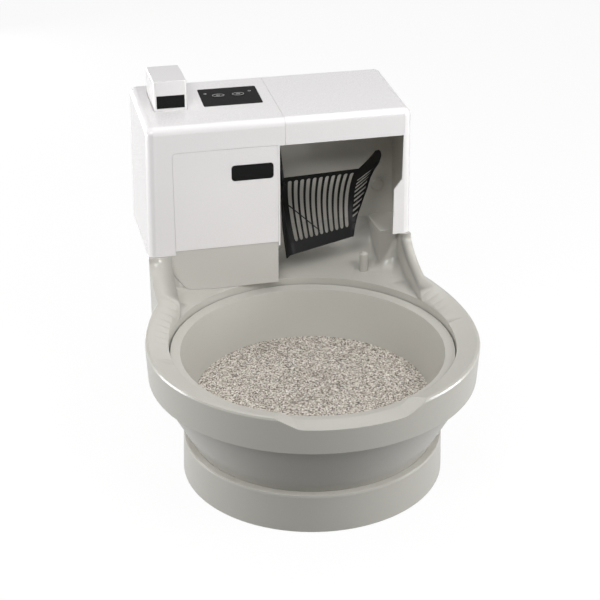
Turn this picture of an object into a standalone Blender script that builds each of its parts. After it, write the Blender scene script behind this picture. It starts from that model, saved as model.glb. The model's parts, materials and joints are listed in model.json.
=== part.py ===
"""Self cleaning litter box: a turning bowl on a round pedestal, with a processing tower behind it.

Metres, +Z up, +Y to the back. The origin lies on the floor, in the middle of the part's box.
"""
import math

import bmesh
import bpy
from mathutils import Matrix, Vector

# Overall sizes
RIM_RADIUS = 0.2445
RIM_SIDE_GROWTH = 0.005
TOWER_WIDTH = 0.420
TOWER_DRAW = 0.0045
TOWER_DEPTH = 0.1775
TOWER_OVERHANG = 0.0141895
TOWER_FRONT_Z = 0.488
TOWER_BACK_Z = 0.500
SEAM_Z = 0.277
SEAM_X = 0.006
CARTRIDGE_TOP_Z = 0.540
WALL = 0.003
GAP = 0.0003
CUT = 0.010
WELD = 0.000001
TOWER_ROUND = 0.012
RIM_COUNT = 96
TURN_COUNT = 48
SMALL_COUNT = 16
ARC_COUNT = 4
ARC_PROFILE_SHARE = 0.5
CAN_TAPER_SHARE = 0.75
SWEEP_COUNT = 9

# Rim and skirt, turned about the bowl's axis
RIM_Z = 0.2196
RIM_ROUND = 0.005
RIM_WIDTH = 0.0297
OPENING_Z = 0.2096
SKIRT_DRAW = 0.0025
SKIRT_Z = 0.163
LIP_Z = 0.202
LIP_HALF = 0.076
LIP_TOP_HALF = 0.112

OPENING_RADIUS = RIM_RADIUS - RIM_WIDTH
SKIRT_RADIUS = RIM_RADIUS - SKIRT_DRAW
RIM_SLOPE = (RIM_Z - OPENING_Z) / RIM_WIDTH
SKIRT_SLOPE = SKIRT_DRAW / (RIM_Z - RIM_ROUND - SKIRT_Z)
SIDE_SHARE = (RIM_RADIUS + RIM_SIDE_GROWTH) / RIM_RADIUS

# The whole depth: the lowered lip in front of the bowl's axis, the tower behind it
FRONT_REACH = SKIRT_RADIUS + SKIRT_SLOPE * (LIP_Z - SKIRT_Z)
TOWER_REACH = OPENING_RADIUS - TOWER_OVERHANG
DEPTH = FRONT_REACH + TOWER_REACH + TOWER_DEPTH
BOWL_Y = FRONT_REACH - DEPTH / 2
TOWER_BACK = DEPTH / 2
TOWER_FRONT = TOWER_BACK - TOWER_DEPTH
HALF_TOWER = TOWER_WIDTH / 2
BASE_HALF = HALF_TOWER + TOWER_DRAW
TOP_SLOPE = (TOWER_BACK_Z - TOWER_FRONT_Z) / TOWER_DEPTH

# Shoulders that sweep up from the rim to the tower
SHOULDER_START = 0.060
SHOULDER_FLAT = 0.002
SHOULDER_RUN = TOWER_REACH + SHOULDER_START - SHOULDER_FLAT
SHOULDER_RISE = SEAM_Z - RIM_Z

# Tub with its cone, and the pedestal ring below it
TUB_INSET = 0.008
TUB_WALL = 0.004
TUB_FLOOR_Z = 0.040
CONE_DRAW = 0.052
CONE_FLOOR_DRAW = 0.006
COLLAR_REACH = 0.012
COLLAR_Z = 0.0624
COLLAR_ROUND = 0.004
FOOT_SPREAD = 0.002
PEDESTAL_WALL = 0.006
BASE_LIFT = 0.0015

CONE_TOP_RADIUS = SKIRT_RADIUS - TUB_INSET
CONE_FOOT_RADIUS = CONE_TOP_RADIUS - CONE_DRAW
CONE_FOOT_Z = COLLAR_Z - COLLAR_ROUND / 2
COLLAR_RADIUS = CONE_FOOT_RADIUS + COLLAR_REACH
FOOT_RADIUS = COLLAR_RADIUS + FOOT_SPREAD
TUB_UNDER_Z = TUB_FLOOR_Z - TUB_WALL

# Apron behind the bowl, columns beside it and pockets in it
APRON_STEP = 0.001
APRON_FLAT_REACH = 0.0352
APRON_FLAT_Z = 0.2150
APRON_RISE_REACH = 0.0702
APRON_RISE_Z = 0.232
APRON_END_REACH = 0.1452
APRON_END_Z = 0.285
WING_LEAN = 0.017
COLUMN_WIDTH = 0.035
SHOULDER_WIDTH = 0.018
PILLAR_WIDTH = 0.0485
PILLAR_DEPTH = 0.0115
BAY_DEPTH = 0.085
WELL_LIP_Z = 0.190

# Rear base under the tower
FOOT_DRAW = 0.040
FOOT_STEP = WALL + SKIRT_DRAW
FOOT_WALL = 0.006
BACK_DRAW = 0.0395
BACK_CORNER = 0.030
FOOT_START = 0.020
PLATE_SEAT = 0.0055
CABLE_WAY_HALF = 0.050
CABLE_WAY_Z = 0.030
POCKET_HALF = 0.100
POCKET_LOW_Z = 0.030
POCKET_HIGH_Z = 0.100
POCKET_DEPTH = 0.025
BASE_BACK_HALF = BASE_HALF - BACK_DRAW

# Bowl and its drive
BOWL_CLEARANCE = 0.0015
BOWL_FLANGE_WIDTH = 0.0148
BOWL_FLANGE_Z = 0.199
BOWL_EDGE_Z = 0.197
BOWL_DRAW = 0.0195
LITTER_Z = 0.122
BOWL_BEND_DRAW = 0.011
BOWL_BEND_Z = 0.085
BOWL_FOOT_DRAW = 0.018
BOWL_FOOT_Z = 0.068
BOWL_FLOOR_DRAW = 0.010
BOWL_FLOOR_Z = 0.062
DOME_RADIUS = 0.020
DOME_FOOT_RADIUS = 0.030
DOME_Z = 0.080
HUB_RADIUS = 0.0265
HUB_Z = 0.053
SOCKET_RADIUS = 0.0123
SOCKET_TOP_Z = 0.074
LITTER_GAP = 0.0006
SPINDLE_RADIUS = 0.012
SPINDLE_FLANGE_RADIUS = 0.030
SPINDLE_FLANGE = 0.004
RING_TEETH = 70
PINION_TEETH = 12
RING_INSET = 0.0175
RING_WIDTH = 0.0145
RING_LOW_Z = 0.045
BOWL_MOTOR_RADIUS = 0.026
BOWL_MOTOR_Z = 0.012
BOWL_MOTOR_CAN_RADIUS = 0.015
SHAFT_RADIUS = 0.0035
SHAFT_WAY = 0.001
SOCKET_DEPTH = 0.005
TIP_SHARE = 0.24
ROOT_SHARE = 0.58
ADDENDUM_SHARE = 0.80
DEDENDUM_SHARE = 1.10
BOWL_FLANGE_RADIUS = OPENING_RADIUS - BOWL_CLEARANCE
BOWL_EDGE_RADIUS = BOWL_FLANGE_RADIUS - BOWL_FLANGE_WIDTH
LITTER_RADIUS = BOWL_EDGE_RADIUS - BOWL_DRAW
BOWL_BEND_RADIUS = LITTER_RADIUS - BOWL_BEND_DRAW
BOWL_FOOT_RADIUS = BOWL_BEND_RADIUS - BOWL_FOOT_DRAW
BOWL_FLOOR_RADIUS = BOWL_FOOT_RADIUS - BOWL_FLOOR_DRAW
RING_RADIUS = BOWL_FLOOR_RADIUS - RING_INSET
RING_BORE_RADIUS = RING_RADIUS - RING_WIDTH
BOWL_MODULE = 2 * RING_RADIUS / RING_TEETH

# Feet and bottom plate
PAD_RADIUS = 0.012
PAD_ANGLE = 36.5
PAD_INSET = 0.028
PAD_BACK_SIDE = 0.070
PAD_BACK_INSET = 0.030
PLATE_SIDE = 0.003

# Door, label plate and hopper front
DOOR_SIDE = 0.0385
DOOR_RIGHT = -0.006
DOOR_TOP_Z = 0.447
DOOR_LOW_Z = 0.284
DOOR_ROUND = 0.006
LABEL_LEFT = -0.080
LABEL_RIGHT = -0.013
LABEL_LOW_Z = 0.3935
LABEL_HIGH_Z = 0.4195
LABEL_ROUND = 0.005
LABEL_THICK = 0.0012
FRONT_LOW_Z = 0.2125
FRONT_CHAMFER_X = 0.026
FRONT_CHAMFER_Z = 0.035
FRONT_INSET = 0.001
DOOR_LEFT = DOOR_SIDE - HALF_TOWER
FRONT_LEFT = COLUMN_WIDTH + GAP - BASE_HALF
FRONT_RIGHT = DOOR_RIGHT - GAP

# Right hood and bay
BAND_Z = 0.446
BAY_LEFT = -0.003
ARM_HIGH_WIDTH = 0.013
ARM_LOW_WIDTH = 0.0258
ARM_STEP_Z = 0.372
ARM_STEP_DROP = 0.017
CEILING_Z = 0.455
BOSS_SIDE = 0.029
BOSS_Z = 0.332
BOSS_RADIUS = 0.011
BOSS_HEIGHT = 0.004
BOSS_ROUND = 0.002
ARM_HIGH_X = HALF_TOWER - ARM_HIGH_WIDTH
ARM_LOW_X = HALF_TOWER - ARM_LOW_WIDTH
BOSS_X = HALF_TOWER - BOSS_SIDE

# Hopper, impeller and chute
HOPPER_SIDE = 0.0415
HOPPER_RIGHT = -0.075
HOPPER_TOP_Z = 0.345
HOPPER_WALL = 0.0025
HOPPER_FLOOR = 0.003
HOPPER_CORNER = 0.012
POCKET_FLOOR_Z = 0.211
IMPELLER_DEPTH = 0.0425
IMPELLER_BLADES = 4
IMPELLER_HUB = 0.008
IMPELLER_TIP = 0.027
IMPELLER_BLADE = 0.003
IMPELLER_HEIGHT = 0.014
IMPELLER_MOTOR_RADIUS = 0.020
IMPELLER_MOTOR_LENGTH = 0.042
CHUTE_INSET = 0.0085
CHUTE_WIDTH = 0.042
CHUTE_WALL = 0.002
CHUTE_HEIGHT = 0.028
CHUTE_HIGH_Z = 0.330
CHUTE_DROP = 0.018
CHUTE_LEFT = -0.092
HOPPER_LEFT = HOPPER_SIDE - HALF_TOWER
IMPELLER_Y = TOWER_FRONT + IMPELLER_DEPTH
CHUTE_FRONT = TOWER_FRONT + CHUTE_INSET
CHUTE_BACK = CHUTE_FRONT + CHUTE_WIDTH

# Scoop, arm and drive
PIVOT_DEPTH = 0.062
SHOULDER_Z = 0.262
ARM_LENGTH = 0.158
ARM_LEFT = -0.002
ARM_THICK = 0.008
ARM_HUB_RADIUS = 0.0115
ARM_END_RADIUS = 0.009
ARM_SLOT_HALF = 0.003
SCOOP_LEFT = 0.008
SCOOP_SHEET = 0.0024
SCOOP_BAR_RIGHT = 0.146
SCOOP_LIP_RIGHT = 0.124
SCOOP_TIP_X = 0.166
SCOOP_TIP_AHEAD = 0.0455
SCOOP_TIP_Z = 0.414
SCOOP_TOP_AHEAD = 0.023
SCOOP_TOP_Z = 0.384
SCOOP_LIP_AHEAD = 0.0475
SCOOP_LIP_Z = 0.251
SCOOP_LIP_RISE = 0.023
SCOOP_BELLY = 0.019
SCOOP_SIDE_REACH = 0.026
SCOOP_BAR_HEIGHT = 0.008
SCOOP_LIP_LENGTH = 0.016
SCOOP_ARCH = 0.0025
SCOOP_SLOTS = 13
SCOOP_SLOT_SHARE = 0.58
SCOOP_ROWS = 7
SIDE_NARROW_SHARE = 0.5
WING_COLUMNS = 7
WING_FADE_POWER = 0.8
WING_OUT_POWER = 0.7
WING_AHEAD_POWER = 1.4
WING_UP_POWER = 1.2
PIN_RADIUS = 0.004
PIN_HEAD_RADIUS = 0.0065
PIN_HEAD = 0.002
SCOOP_SHAFT_RADIUS = 0.005
SCOOP_MODULE = 0.0015
SCOOP_GEAR_TEETH = 24
SCOOP_PINION_TEETH = 12
SCOOP_GEAR_LEFT = -0.0245
SCOOP_GEAR_WIDTH = 0.009
BRACKET_LEFT = -0.031
BRACKET_RIGHT = -0.010
BRACKET_SHEET = 0.003
BRACKET_DEPTH = 0.0425
BRACKET_LENGTH = 0.039
BRACKET_HEAD = 0.012
BUSH_RADIUS = 0.008
SCOOP_MOTOR_RADIUS = 0.0165
SCOOP_MOTOR_LENGTH = 0.038
SHOULDER_Y = TOWER_FRONT + PIVOT_DEPTH
SCOOP_TIP_Y = SHOULDER_Y - SCOOP_TIP_AHEAD
SCOOP_TOP_Y = SHOULDER_Y - SCOOP_TOP_AHEAD
SCOOP_LIP_Y = SHOULDER_Y - SCOOP_LIP_AHEAD
BRACKET_FRONT = TOWER_FRONT + BRACKET_DEPTH
BRACKET_BACK = BRACKET_FRONT + BRACKET_LENGTH

# Cartridge, dock and dosing pump
CARTRIDGE_SIDE = 0.024
CARTRIDGE_WIDTH = 0.052
CARTRIDGE_DEPTH = 0.068
CARTRIDGE_LENGTH = 0.082
CARTRIDGE_LOW_Z = 0.425
CARTRIDGE_ROUND = 0.004
CARTRIDGE_LABEL_HIGH = 0.024
CARTRIDGE_LABEL_LOW = 0.004
NOZZLE_RADIUS = 0.008
NOZZLE_LENGTH = 0.012
DOCK_WALL = 0.0022
DOCK_LOW_Z = 0.405
DOSING_HALF = 0.018
DOSING_HEIGHT = 0.034
DOSING_CAN_RADIUS = 0.0126
CARTRIDGE_LEFT = CARTRIDGE_SIDE - HALF_TOWER
CARTRIDGE_RIGHT = CARTRIDGE_LEFT + CARTRIDGE_WIDTH
CARTRIDGE_FRONT = TOWER_FRONT + CARTRIDGE_DEPTH
CARTRIDGE_BACK = CARTRIDGE_FRONT + CARTRIDGE_LENGTH

# Control panel and board
PANEL_RIGHT = -0.013
PANEL_WIDTH = 0.094
PANEL_DEPTH = 0.0725
PANEL_LENGTH = 0.072
PANEL_SKEW = 0.001
PANEL_ROUND = 0.003
PANEL_THICK = 0.002
BUTTON_LENGTH = 0.020
BUTTON_WIDTH = 0.012
BUTTON_DEPTH = 0.0415
BUTTON_INSET = 0.032
BUTTON_PITCH = 0.032
BUTTON_PROUD = 0.0006
BUTTON_DEEP = 0.0078
BOARD_DROP = 0.009
BOARD_THICK = 0.0016
BOARD_MARGIN = 0.006
POST_RADIUS = 0.0022
CHIP_HALF = 0.009
CHIP_HEIGHT = 0.003
PANEL_LEFT = PANEL_RIGHT - PANEL_WIDTH
PANEL_FRONT = TOWER_FRONT + PANEL_DEPTH
PANEL_BACK = PANEL_FRONT + PANEL_LENGTH
BUTTON_Y = PANEL_FRONT + BUTTON_DEPTH
BUTTON_RIGHT_X = PANEL_RIGHT - BUTTON_INSET
BUTTON_LEFT_X = BUTTON_RIGHT_X - BUTTON_PITCH

# Rear cover, deck and screws
COVER_INSET = 0.003
COVER_ROUND = 0.010
LOUVRE_COUNT = 9
LOUVRE_PITCH = 0.010
LOUVRE_HEIGHT = 0.004
LOUVRE_HALF = 0.050
SCREW_RADIUS = 0.0035
SCREW_HEAD = 0.002
SCREW_SHANK_RADIUS = 0.0015
SCREW_LENGTH = 0.008
SCREW_INSET = 0.012
DECK_HOLE_HALF = 0.045
DECK_HOLE_SIDE = 0.110
DECK_HOLE_MARGIN = 0.018
DECK_HOLE_X = HALF_TOWER - DECK_HOLE_SIDE

# Blower
BLOWER_SIDE = 0.105
BLOWER_Z = 0.365
BLOWER_RADIUS = 0.050
BLOWER_LENGTH = 0.044
BLOWER_WALL = 0.0025
BLOWER_MOTOR_RADIUS = 0.018
BLOWER_MOTOR_LENGTH = 0.017
FAN_RADIUS = 0.042
FAN_HUB = 0.014
FAN_BLADES = 14
FAN_BLADE = 0.002
FAN_LENGTH = 0.026
SPOUT_HALF = 0.016
BLOWER_X = HALF_TOWER - BLOWER_SIDE

# Plumbing and power at the back
PUMP_X = -0.080
VALVE_X = 0.080
PORT_Z = 0.060
PUMP_RADIUS = 0.024
PUMP_LENGTH = 0.030
PUMP_CAN_RADIUS = 0.017
SPIGOT_RADIUS = 0.011
SPIGOT_BORE = 0.008
SPIGOT_FLANGE_RADIUS = 0.015
SPIGOT_FLANGE = 0.003
SPIGOT_PROUD = 0.019
VALVE_HALF = 0.015
VALVE_TOP_Z = 0.085
VALVE_LENGTH = 0.036
SOCKET_HALF_X = 0.014
SOCKET_HALF_Z = 0.010
SOCKET_FLANGE = 0.004
SOCKET_FLANGE_THICK = 0.002
SOCKET_BODY = 0.016
SOCKET_WALL = 0.003
WATER_POST_X = 0.138
WATER_POST_REACH = 0.208
WATER_POST_RADIUS = 0.007
WATER_POST_ROUND = 0.0035
WATER_POST_HEIGHT = 0.034
WATER_POST_SEAT = 0.0015

# Places worked out from the sizes above
BAY_BACK = TOWER_FRONT + BAY_DEPTH
COVER_BACK = TOWER_BACK - COVER_INSET
PLATE_TOP = PLATE_SEAT - GAP
HOLLOW_CEILING_Z = POCKET_FLOOR_Z - WALL
RING_TOP_Z = BOWL_FLOOR_Z - WALL - GAP
PINION_RADIUS = PINION_TEETH * BOWL_MODULE / 2
PINION_Y = BOWL_Y + RING_RADIUS + PINION_RADIUS
ELBOW_Z = SHOULDER_Z + ARM_LENGTH
SCOOP_GEAR_RADIUS = SCOOP_GEAR_TEETH * SCOOP_MODULE / 2
SCOOP_PINION_RADIUS = SCOOP_PINION_TEETH * SCOOP_MODULE / 2
SCOOP_PINION_Z = SHOULDER_Z + SCOOP_GEAR_RADIUS + SCOOP_PINION_RADIUS
IMPELLER_X = (HOPPER_LEFT + HOPPER_RIGHT) / 2
HOPPER_FRONT = TOWER_FRONT + FRONT_INSET + WALL + GAP
HOPPER_BACK = BAY_BACK - WALL
HOPPER_LOW_Z = POCKET_FLOOR_Z + GAP
PORT_WALL_FRONT = TOWER_BACK - POCKET_DEPTH - WALL
PORT_WALL_BACK = TOWER_BACK - POCKET_DEPTH
INNER_HALF = HALF_TOWER - WALL - GAP

# How a flat outline's two directions and its depth lie in space, by extrusion axis
PLACE = {
    "X": lambda u, v, w: (w, u, v),
    "Y": lambda u, v, w: (u, w, v),
    "Z": lambda u, v, w: (u, v, w),
}


def clear_scene():
    for item in list(bpy.data.objects):
        bpy.data.objects.remove(item, do_unlink=True)


def material(name, colour, roughness, metallic=0.0):
    paint = bpy.data.materials.new(name)
    paint.use_nodes = True
    shader = paint.node_tree.nodes["Principled BSDF"]
    shader.inputs["Base Color"].default_value = (*colour, 1.0)
    shader.inputs["Roughness"].default_value = roughness
    shader.inputs["Metallic"].default_value = metallic
    return paint


def top_z(y):
    """Height of the tower's sloping top at a depth."""
    return TOWER_FRONT_Z + TOP_SLOPE * (y - TOWER_FRONT)


def rounded(corners, steps=ARC_COUNT):
    """Outline in which each (u, v, radius) corner is an arc."""
    outline = []
    for index, (u, v, radius) in enumerate(corners):
        here = Vector((u, v))
        if radius <= 0:
            outline.append((u, v))
            continue
        back = (Vector(corners[index - 1][:2]) - here).normalized()
        ahead = (Vector(corners[(index + 1) % len(corners)][:2]) - here).normalized()
        half = back.angle(ahead) / 2
        centre = here + (back + ahead).normalized() * (radius / math.sin(half))
        start = here + back * (radius / math.tan(half)) - centre
        end = here + ahead * (radius / math.tan(half)) - centre
        first = math.atan2(start.y, start.x)
        turn = math.remainder(math.atan2(end.y, end.x) - first, math.tau)
        for step in range(steps + 1):
            angle = first + turn * step / steps
            outline.append((centre.x + radius * math.cos(angle), centre.y + radius * math.sin(angle)))
    return outline


def rectangle(u, v, radius=0.0):
    corners = [(u[0], v[0], radius), (u[1], v[0], radius), (u[1], v[1], radius), (u[0], v[1], radius)]
    return rounded(corners)


def circle(centre, radius, steps=SMALL_COUNT):
    angles = [math.tau * step / steps for step in range(steps)]
    return [(centre[0] + radius * math.cos(a), centre[1] + radius * math.sin(a)) for a in angles]


def prism(outline, low, high, axis="Z"):
    """Outline extruded along an axis."""
    bm = bmesh.new()
    face = bm.faces.new([bm.verts.new(PLACE[axis](u, v, low)) for u, v in outline])
    moved = bmesh.ops.extrude_face_region(bm, geom=[face])["geom"]
    shift = Vector(PLACE[axis](0, 0, high - low))
    bmesh.ops.translate(bm, vec=shift, verts=[item for item in moved if isinstance(item, bmesh.types.BMVert)])
    bmesh.ops.recalc_face_normals(bm, faces=bm.faces)
    return bm


def block(x, y, z):
    return prism(rectangle(x, y), z[0], z[1])


def lofted(sections):
    """Closed solid through outlines of as many points each, given with their heights."""
    bm = bmesh.new()
    rings = [[bm.verts.new((x, y, z)) for x, y in outline] for outline, z in sections]
    bm.faces.new(rings[0])
    bm.faces.new(rings[-1])
    for low, high in zip(rings, rings[1:]):
        for index in range(len(low)):
            bm.faces.new((low[index - 1], low[index], high[index], high[index - 1]))
    bmesh.ops.recalc_face_normals(bm, faces=bm.faces)
    return bm


def turned(profile, centre=(0, 0), steps=TURN_COUNT):
    """Profile of (radius, height) points turned about a vertical line."""
    bm = bmesh.new()
    verts = [bm.verts.new((centre[0] + radius, centre[1], z)) for radius, z in profile]
    ahead = verts[1:]
    if profile[0][0] > 0:
        ahead.append(verts[0])
    edges = [bm.edges.new(pair) for pair in zip(verts, ahead)]
    bmesh.ops.spin(bm, geom=verts + edges, cent=(centre[0], centre[1], 0), axis=(0, 0, 1),
                   angle=math.tau, steps=steps, use_merge=True)
    bmesh.ops.remove_doubles(bm, verts=bm.verts, dist=WELD)
    bmesh.ops.recalc_face_normals(bm, faces=bm.faces)
    return bm


def laid(bm, axis, place):
    """A shape turned about Z, laid along X or Y and moved to its place."""
    turn = {"X": Matrix.Rotation(math.pi / 2, 4, "Y"), "Y": Matrix.Rotation(-math.pi / 2, 4, "X")}[axis]
    bm.transform(Matrix.Translation(place) @ turn)
    return bm


def rod(radius, low, high, steps=SMALL_COUNT):
    return turned([(0, high), (radius, high), (radius, low), (0, low)], steps=steps)


def tube(radius, bore, low, high, steps=SMALL_COUNT):
    return turned([(bore, high), (radius, high), (radius, low), (bore, low)], steps=steps)


def joined(shape, tool, operation="DIFFERENCE"):
    """The shape after one exact Boolean with a tool."""
    pieces = []
    for bm in (shape, tool):
        mesh = bpy.data.meshes.new("step")
        bm.to_mesh(mesh)
        bm.free()
        piece_object = bpy.data.objects.new("step", mesh)
        bpy.context.scene.collection.objects.link(piece_object)
        pieces.append(piece_object)
    change = pieces[0].modifiers.new("change", "BOOLEAN")
    change.operation = operation
    change.solver = "EXACT"
    change.object = pieces[1]
    result = bmesh.new()
    result.from_object(pieces[0], bpy.context.evaluated_depsgraph_get())
    for piece_object in pieces:
        mesh = piece_object.data
        bpy.data.objects.remove(piece_object, do_unlink=True)
        bpy.data.meshes.remove(mesh)
    bmesh.ops.remove_doubles(result, verts=result.verts, dist=WELD)
    open_edges = [edge for edge in result.edges if edge.is_boundary]
    if open_edges:
        bmesh.ops.holes_fill(result, edges=open_edges, sides=3)
    return result


def cut(shape, *tools):
    for tool in tools:
        shape = joined(shape, tool, "DIFFERENCE")
    return shape


def fused(shape, *tools):
    for tool in tools:
        shape = joined(shape, tool, "UNION")
    return shape


def soften(bm, width, pick, steps=3):
    """Bevels the edges that pick chooses."""
    edges = [edge for edge in bm.edges if pick(edge)]
    bmesh.ops.bevel(bm, geom=edges, offset=width, segments=steps, profile=ARC_PROFILE_SHARE, affect="EDGES",
                    clamp_overlap=True)
    return bm


def piece(name, bm, paint, pivot=(0, 0, 0)):
    """Makes the named object, with its origin at the pivot."""
    bmesh.ops.translate(bm, vec=-Vector(pivot), verts=bm.verts)
    mesh = bpy.data.meshes.new(name)
    bm.to_mesh(mesh)
    bm.free()
    mesh.shade_smooth()
    mesh.set_sharp_from_angle(angle=math.radians(35))
    mesh.materials.append(paint)
    item = bpy.data.objects.new(name, mesh)
    item.location = pivot
    bpy.context.scene.collection.objects.link(item)
    return item


def gear_outline(teeth, module, offset_share=0.0):
    """Trapezoid teeth about the origin, the first one centred on the first direction."""
    pitch = math.tau / teeth
    radius = teeth * module / 2
    root = radius - DEDENDUM_SHARE * module
    tip = radius + ADDENDUM_SHARE * module
    places = [(-ROOT_SHARE / 2, root), (-TIP_SHARE / 2, tip), (TIP_SHARE / 2, tip), (ROOT_SHARE / 2, root)]
    outline = []
    for tooth in range(teeth):
        for share, reach in places:
            angle = (tooth + offset_share + share) * pitch
            outline.append((reach * math.cos(angle), reach * math.sin(angle)))
    return outline


def paddle_outline(blades, hub, tip, thick):
    """A hub with straight radial blades."""
    outline = []
    for index in range(blades):
        angle = math.tau * index / blades
        along = Vector((math.cos(angle), math.sin(angle)))
        across = Vector((-along.y, along.x)) * (thick / 2)
        foot = math.sqrt(hub ** 2 - (thick / 2) ** 2)
        outline += [tuple(along * foot - across), tuple(along * tip - across),
                    tuple(along * tip + across), tuple(along * foot + across)]
    return outline


def moved(outline, u, v):
    return [(a + u, b + v) for a, b in outline]


def follow_top(bm, drop=0.0):
    """Shears a shape built about height zero so that it follows the tower's sloping top."""
    for vert in bm.verts:
        vert.co.z += top_z(vert.co.y) - drop
    return bm


# Base

def widened(bm):
    """Stretches a shape turned about the bowl's axis sideways: the base is a little wider than it is deep."""
    for vert in bm.verts:
        vert.co.x *= SIDE_SHARE
    return bm


def rim_plan(inset):
    """Points round the rim and shoulders from the bowl's axis, each with the heading to its outside."""
    side = BASE_HALF - inset
    radius = RIM_RADIUS - inset
    meet = math.acos(min(side / (radius * SIDE_SHARE), 1))
    start = radius * math.sin(meet)
    end = TOWER_REACH + inset
    count = RIM_COUNT // 3
    half = []
    for step in range(count + 1):
        angle = (meet + math.pi / 2) * step / count - math.pi / 2
        half.append((radius * SIDE_SHARE * math.cos(angle), radius * math.sin(angle), angle))
    for step in range(1, SWEEP_COUNT + 1):
        share = math.sin(math.pi / 2 * step / SWEEP_COUNT)
        half.append((side, start + (end - SHOULDER_FLAT - start) * share, meet * (1 - share)))
    half += [(side, end, 0), (side - CUT, end + CUT, 0)]
    middle = (0, end + BAY_DEPTH / 2, math.pi / 2)
    return half + [middle] + [(-x, y, math.pi - angle) for x, y, angle in half[:0:-1]]


def sweep(y, inset):
    """Shares of the shoulder's rise and of its levelling at a distance behind the bowl's axis."""
    share = min(max((y - inset + SHOULDER_START) / SHOULDER_RUN, 0), 1)
    return 1 - math.sqrt(1 - share ** 2), share ** 2


def surround(inset, low):
    """Rim, skirt and shoulders up to the tower as one solid form, or the hollow inside it."""
    edge = RIM_ROUND - inset
    plan = rim_plan(inset)
    bm = bmesh.new()
    loops = []
    for reach, drop in ((RIM_WIDTH + CUT, 0), (edge, 0), (edge / 4, edge / 3), (0, edge)):
        loop = []
        for x, y, angle in plan:
            across, along = x - reach * math.cos(angle), y - reach * math.sin(angle)
            rise, level = sweep(along, inset)
            z = RIM_Z - inset + SHOULDER_RISE * rise - (RIM_SLOPE * reach + drop) * (1 - level)
            loop.append(bm.verts.new((across, BOWL_Y + along, z)))
        loops.append(loop)
    foot = []
    for x, y, angle in plan:
        draw = SKIRT_DRAW * (1 - sweep(y, inset)[1])
        foot.append(bm.verts.new((x - draw * math.cos(angle), BOWL_Y + y - draw * math.sin(angle), low)))
    loops.append(foot)
    for upper, lower in zip(loops, loops[1:]):
        for index in range(len(plan)):
            bm.faces.new((upper[index - 1], upper[index], lower[index], lower[index - 1]))
    top = bm.verts.new((0, BOWL_Y, RIM_Z - inset - RIM_SLOPE * (RIM_WIDTH + CUT)))
    bottom = bm.verts.new((0, BOWL_Y, low))
    for index in range(len(plan)):
        bm.faces.new((top, loops[0][index], loops[0][index - 1]))
        bm.faces.new((bottom, foot[index - 1], foot[index]))
    bmesh.ops.recalc_face_normals(bm, faces=bm.faces)
    return bm


def tower_plan(inset):
    """Outline of the tower's part of the base seen from above."""
    front, back = TOWER_FRONT + inset, TOWER_BACK - inset
    return rounded([
        (BASE_HALF - inset, front, 0), (BASE_BACK_HALF - inset, back, BACK_CORNER - inset),
        (-BASE_BACK_HALF + inset, back, BACK_CORNER - inset), (-BASE_HALF + inset, front, 0),
    ])


def tower_room():
    """Hollow of the tower's part of the base, open above behind the bay."""
    low = SKIRT_Z - CUT
    high = SEAM_Z + CUT
    side = [
        (TOWER_FRONT - CUT, low), (TOWER_BACK + CUT, low), (TOWER_BACK + CUT, high), (BAY_BACK + WALL, high),
        (BAY_BACK + WALL, SEAM_Z - WALL), (TOWER_FRONT - CUT, SEAM_Z - WALL),
    ]
    room = prism(tower_plan(WALL), low - CUT, high + CUT)
    return joined(room, prism(side, -BASE_HALF - CUT, BASE_HALF + CUT, "X"), "INTERSECT")


def well_cutter(grow, low):
    """The round well that holds the bowl, opening upwards between the shoulders."""
    high = SEAM_Z + CUT * 2
    radius = OPENING_RADIUS + grow
    profile = [(0, high), (radius + WING_LEAN, high), (radius, OPENING_Z + APRON_STEP), (radius, low), (0, low)]
    return turned(profile, (0, BOWL_Y), RIM_COUNT)


def apron_cutter(grow):
    """The dished apron that rises from the well's edge to the bay, beside the pillar on the right."""
    high = SEAM_Z + CUT
    radius = OPENING_RADIUS + grow
    profile = [
        (0, high),
        (radius + APRON_END_REACH, high),
        (radius + APRON_END_REACH, APRON_END_Z - grow),
        (radius + APRON_RISE_REACH, APRON_RISE_Z - grow),
        (radius + APRON_FLAT_REACH, APRON_FLAT_Z - grow),
        (radius - CUT / 2, OPENING_Z + APRON_STEP - grow),
        (0, OPENING_Z + APRON_STEP - grow),
    ]
    left = COLUMN_WIDTH - BASE_HALF - grow
    right = BASE_HALF - SHOULDER_WIDTH + grow
    pillar = BASE_HALF - PILLAR_WIDTH + grow
    front = TOWER_FRONT + PILLAR_DEPTH + grow
    back = BAY_BACK + grow
    plan = [
        (left, BOWL_Y), (right, BOWL_Y), (right, front), (pillar, front), (pillar, back),
        (DOOR_RIGHT - grow, back), (DOOR_RIGHT - grow, TOWER_FRONT + grow), (left, TOWER_FRONT + grow),
    ]
    return joined(turned(profile, (0, BOWL_Y), RIM_COUNT), prism(plan, OPENING_Z - CUT, high + CUT), "INTERSECT")


def hopper_pocket(grow, front):
    """Room for the hopper and the scoop's drive in the left of the base."""
    return block((COLUMN_WIDTH - BASE_HALF - grow, DOOR_RIGHT + grow), (front - grow, BAY_BACK + grow),
                 (POCKET_FLOOR_Z - grow, SEAM_Z + CUT))


def front_lip(grow):
    """The lowered part of the rim at the front, where the cat steps in."""
    outline = rounded([
        (-LIP_TOP_HALF - CUT - grow, RIM_Z + CUT - grow, 0),
        (-LIP_TOP_HALF - grow, RIM_Z - grow, CUT),
        (-LIP_HALF - grow, LIP_Z - grow, CUT * 2),
        (LIP_HALF + grow, LIP_Z - grow, CUT * 2),
        (LIP_TOP_HALF + grow, RIM_Z - grow, CUT),
        (LIP_TOP_HALF + CUT + grow, RIM_Z + CUT - grow, 0),
    ])
    return prism(outline, BOWL_Y - RIM_RADIUS - CUT, BOWL_Y - OPENING_RADIUS / 2, "Y")


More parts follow.
